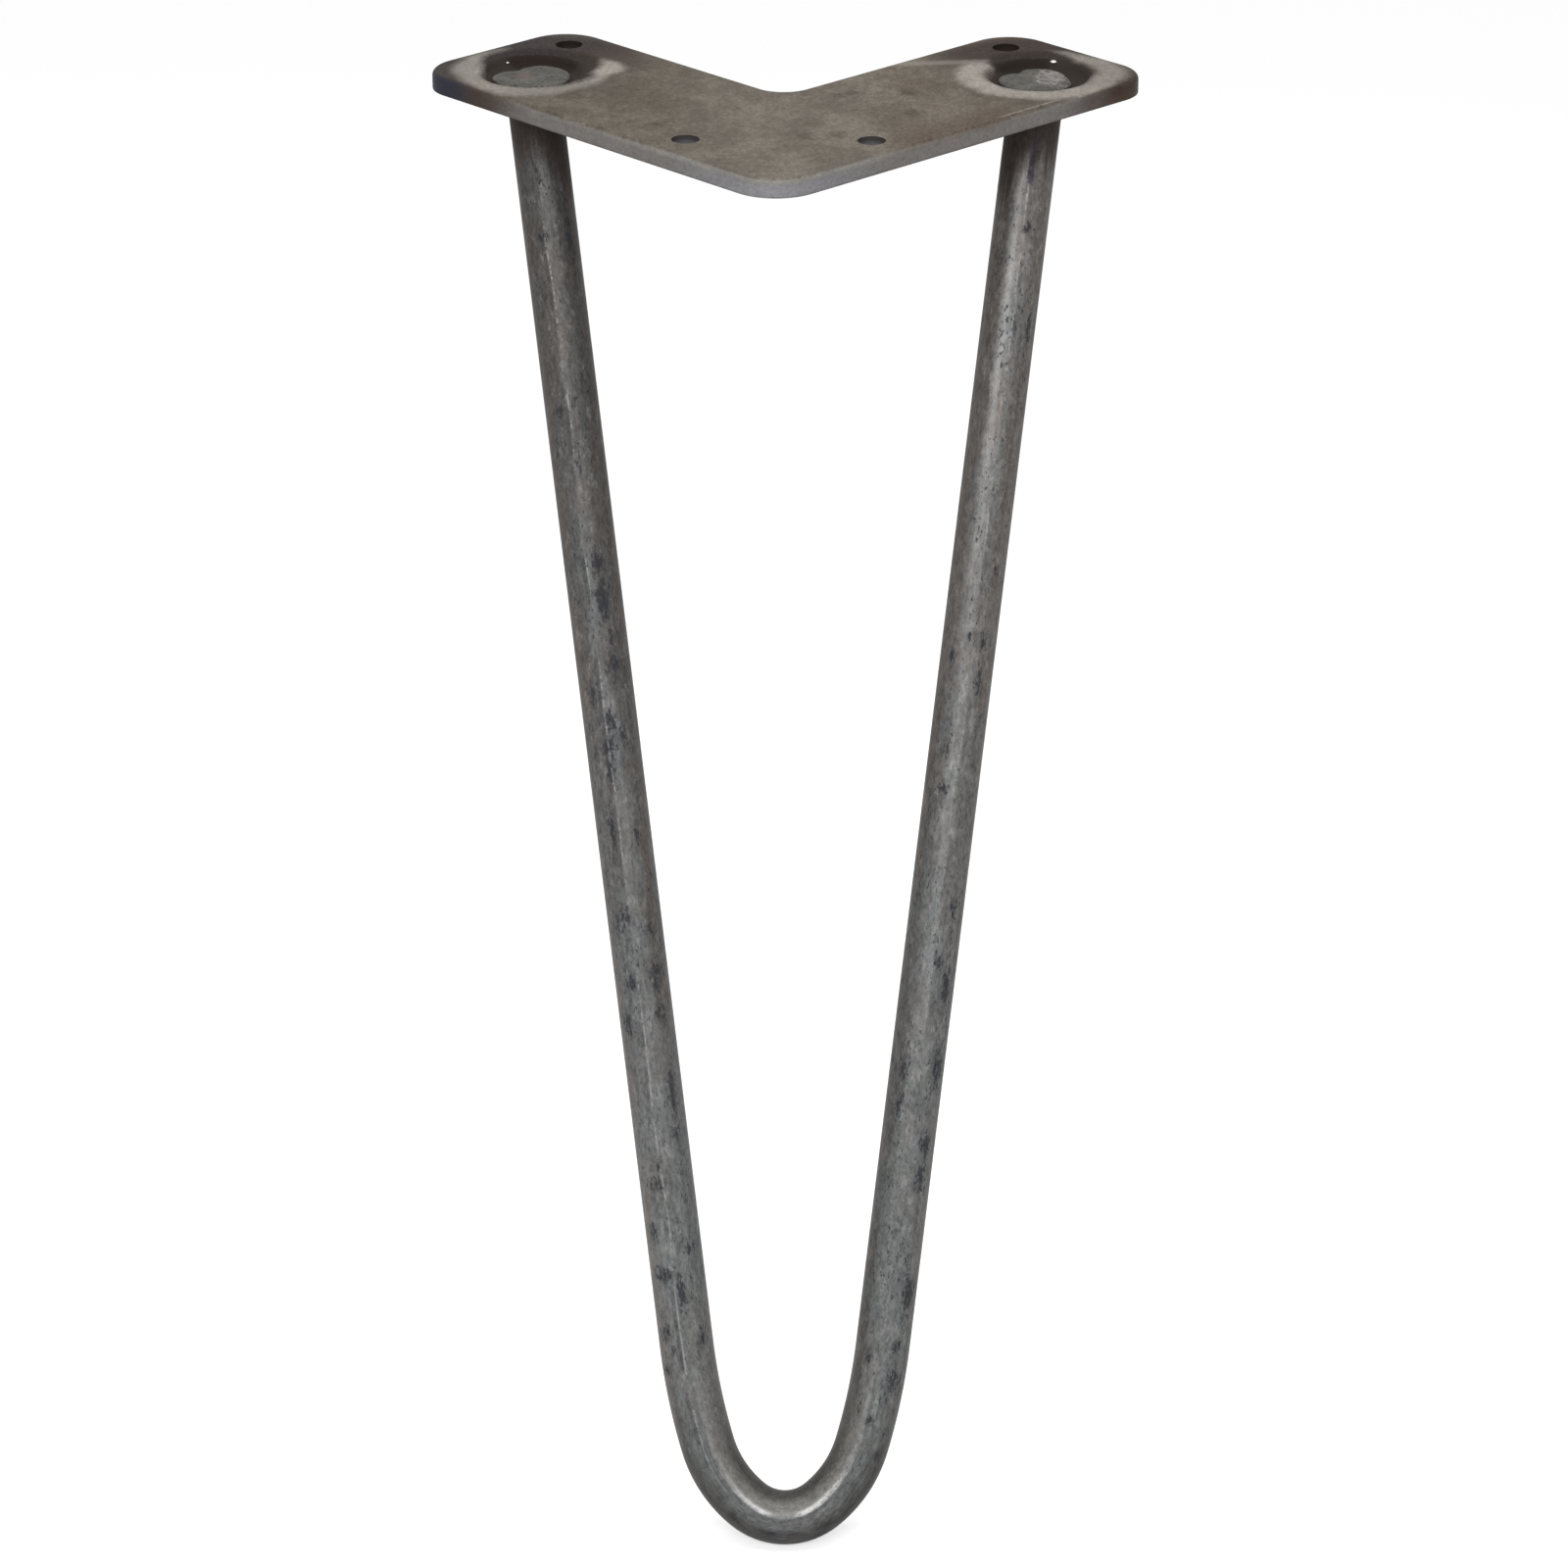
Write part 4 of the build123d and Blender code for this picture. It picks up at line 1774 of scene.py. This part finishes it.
@dataclass(frozen=True)
class Lamp:
    """One soft lamp.

    Attributes:
        name: the lamp's name.
        place: where it hangs.
        face: width and height of its face.
        power: in watts.
    """

    name: str
    place: tuple[float, float, float]
    face: tuple[float, float]
    power: float


@dataclass(frozen=True)
class Studio:
    """Camera, floor, lamps and white surroundings.

    Attributes:
        floor_z: height of the floor.
        eye: where the camera stands.
        turn: heading of the camera from +Y towards -X, in radians.
        pitch: how far it looks down, in radians.
        roll: turn about its own view, in radians.
        lens: focal length in millimetres, on a sensor of the given width.
        sensor: width of the sensor in millimetres.
        clip: nearest and furthest distance that the camera sees.
        lamps: the lamps.
        fill: strength of the surroundings as a light.
        floor_colour: colour of the floor.
        floor_glow: how much it glows where it is looked at.
        floor_size: width of the floor.
        floor_fade: from where to where the floor fades into the white surroundings.
    """

    floor_z: float
    eye: tuple[float, float, float] = (0.03453, -1.19295, 0.37848)
    turn: float = 0.02811
    pitch: float = 0.41621
    roll: float = -0.0014
    lens: float = 135.0
    sensor: float = 36.0
    clip: tuple[float, float] = (0.01, 50.0)
    lamps: Sequence[Lamp] = (
        Lamp("overhead", (-0.03, -0.20, 1.0), (1.8, 0.6), 8.5),
        Lamp("front", (-0.08, -1.35, 0.62), (1.8, 0.5), 15.0),
    )
    fill: float = 0.34
    floor_colour: Colour = (0.8, 0.8, 0.8)
    floor_glow: float = 0.55
    floor_size: float = 4.0
    floor_fade: Step = (0.7, 1.7)

    def camera(self) -> None:
        """Sets up the camera of the photograph's view."""
        data = bpy.data.cameras.new("view")
        data.lens = self.lens
        data.sensor_width = self.sensor
        data.clip_start, data.clip_end = self.clip
        view = bpy.data.objects.new("view", data)
        bpy.context.scene.collection.objects.link(view)
        heading = Matrix.Rotation(self.turn, 4, "Z")
        tilt = Matrix.Rotation(math.pi / 2 - self.pitch, 4, "X")
        roll = Matrix.Rotation(self.roll, 4, "Z")
        view.matrix_world = Matrix.Translation(self.eye) @ heading @ tilt @ roll
        bpy.context.scene.camera = view

    def hang(self, lamp: Lamp) -> None:
        """Hangs a lamp so that it faces the leg.

        Args:
            lamp: the lamp.
        """
        data = bpy.data.lights.new(lamp.name, "AREA")
        data.shape = "RECTANGLE"
        data.size, data.size_y = lamp.face
        data.energy = lamp.power
        hung = bpy.data.objects.new(lamp.name, data)
        bpy.context.scene.collection.objects.link(hung)
        way = Vector((0.0, 0.0, self.floor_z / 2)) - Vector(lamp.place)
        hung.matrix_world = Matrix.Translation(lamp.place) @ way.to_track_quat("-Z", "Y").to_matrix().to_4x4()

    @staticmethod
    def seen(nodes: Nodes) -> Wire:
        """Tells the rays that look at the surroundings from those that gather light from them.

        Args:
            nodes: the tree that asks.

        Returns:
            1 for rays that look, 0 for the others.
        """
        path = nodes.node("ShaderNodeLightPath")
        kinds = ("Camera", "Glossy", "Transmission")
        return nodes.most(*(nodes.out(path, f"Is {kind} Ray") for kind in kinds))

    def surroundings(self) -> None:
        """A white world that lights the leg less than it shows."""
        world = bpy.data.worlds.new("white_room")
        world.use_nodes = True
        bpy.context.scene.world = world
        nodes = Nodes(world.node_tree)
        sky = world.node_tree.nodes["Background"]
        nodes.join((1.0, 1.0, 1.0), sky.inputs["Color"])
        nodes.join(self.fill + self.seen(nodes) * (1.0 - self.fill), sky.inputs["Strength"])

    def floor(self) -> None:
        """A pale floor that shows white round the leg's soft shadow, and nothing from below."""
        reach = self.floor_size / 2
        corners = [(-reach, -reach), (reach, -reach), (reach, reach), (-reach, reach)]
        mesh = bpy.data.meshes.new("floor")
        mesh.from_pydata([(x, y, self.floor_z) for x, y in corners], [], [(0, 1, 2, 3)])
        floor = new_piece("floor", mesh)
        paint = bpy.data.materials.new("pale_floor")
        paint.use_nodes = True
        nodes = Nodes(paint.node_tree)
        tree = paint.node_tree
        tree.nodes.remove(tree.nodes["Principled BSDF"])
        pale = nodes.node("ShaderNodeBsdfDiffuse", None, {"Color": self.floor_colour})
        glow = nodes.node("ShaderNodeEmission", None, {"Strength": self.seen(nodes) * self.floor_glow})
        lit = nodes.node("ShaderNodeAddShader", None, {0: nodes.out(pale), 1: nodes.out(glow)})
        clear = nodes.node("ShaderNodeBsdfTransparent")
        below = nodes.out(nodes.node("ShaderNodeNewGeometry"), "Backfacing")
        spot = nodes.out(nodes.node("ShaderNodeTexCoord"), "Object")
        away = nodes.distance(spot, (0.0, 0.0, self.floor_z))
        gone = nodes.most(below, away.rise(self.floor_fade))
        shown = nodes.node("ShaderNodeMixShader", None, {0: gone, 1: nodes.out(lit), 2: nodes.out(clear)})
        nodes.join(nodes.out(shown), tree.nodes["Material Output"].inputs["Surface"])
        mesh.materials.append(paint)

    def build(self) -> None:
        """Makes the whole studio."""
        self.camera()
        self.surroundings()
        self.floor()
        for lamp in self.lamps:
            self.hang(lamp)
        bpy.context.scene.view_settings.view_transform = "Standard"


def seat_places() -> dict[Side, Vector]:
    """Middle of each weld seat's floor, from the welds' solids.

    Returns:
        The seats by side.
    """
    seats = {}
    for side in Side:
        low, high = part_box(f"{side.name.lower()}_weld")
        middle = (low + high) / 2
        seats[side] = Vector((middle.x, middle.y, low.z))
    return seats


def mounts(frame: Mapping[str, Any]) -> dict[str, Mapping[str, Any]]:
    """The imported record's mounts by name."""
    return {mount["name"]: mount for mount in frame["record"]["mounts"]}


def right_holes(frame: Mapping[str, Any]) -> list[Vector]:
    """The right-hand screw holes, from the record's mounts.

    Args:
        frame: the loaded frame.

    Returns:
        The front and the rear hole.
    """
    found = mounts(frame)
    holes = []
    for name in ("front_screws", "rear_screws"):
        half_gap = found[name]["dims"]["spacing_x_mm"] / 2 * MM
        holes.append(Vector((half_gap, found[name]["pos_m"][1], 0.0)))
    return holes


def describe(piece: bpy.types.Object) -> tuple[str, int]:
    """Name and number of faces of a piece."""
    return piece.name, len(piece.data.polygons)


def main() -> None:
    """Builds the leg piece by piece and reports each one."""
    logging.basicConfig(level=logging.INFO, format="%(name)s: %(message)s")
    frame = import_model()
    seats = seat_places()
    foot = Vector(mounts(frame)["foot"]["pos_m"])
    Studio(floor_z=foot.z).build()

    plate = MountingPlate(seats, right_holes(frame))
    plate.dress(frame["nodes"]["mounting_plate"], PlateSteel())
    LOG.info("mounting_plate dressed")

    bar = HairpinBar(seats, foot + Vector((0, 0, HairpinBar.diameter / 2)))
    LOG.info("%s with %d faces", *describe(bar.build(BarSteel())))

    weld_metal = WeldMetal().build()
    for side in Side:
        low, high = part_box(f"{side.name.lower()}_weld")
        weld = PlugWeld(side, seats[side], (high.x - low.x) / 2, high.z - low.z)
        LOG.info("%s with %d faces", *describe(weld.build(weld_metal)))
    LOG.info("%s with %d faces", *describe(Spatter(seats).build(SpatterMetal().build())))


if __name__ == "__main__":
    main()
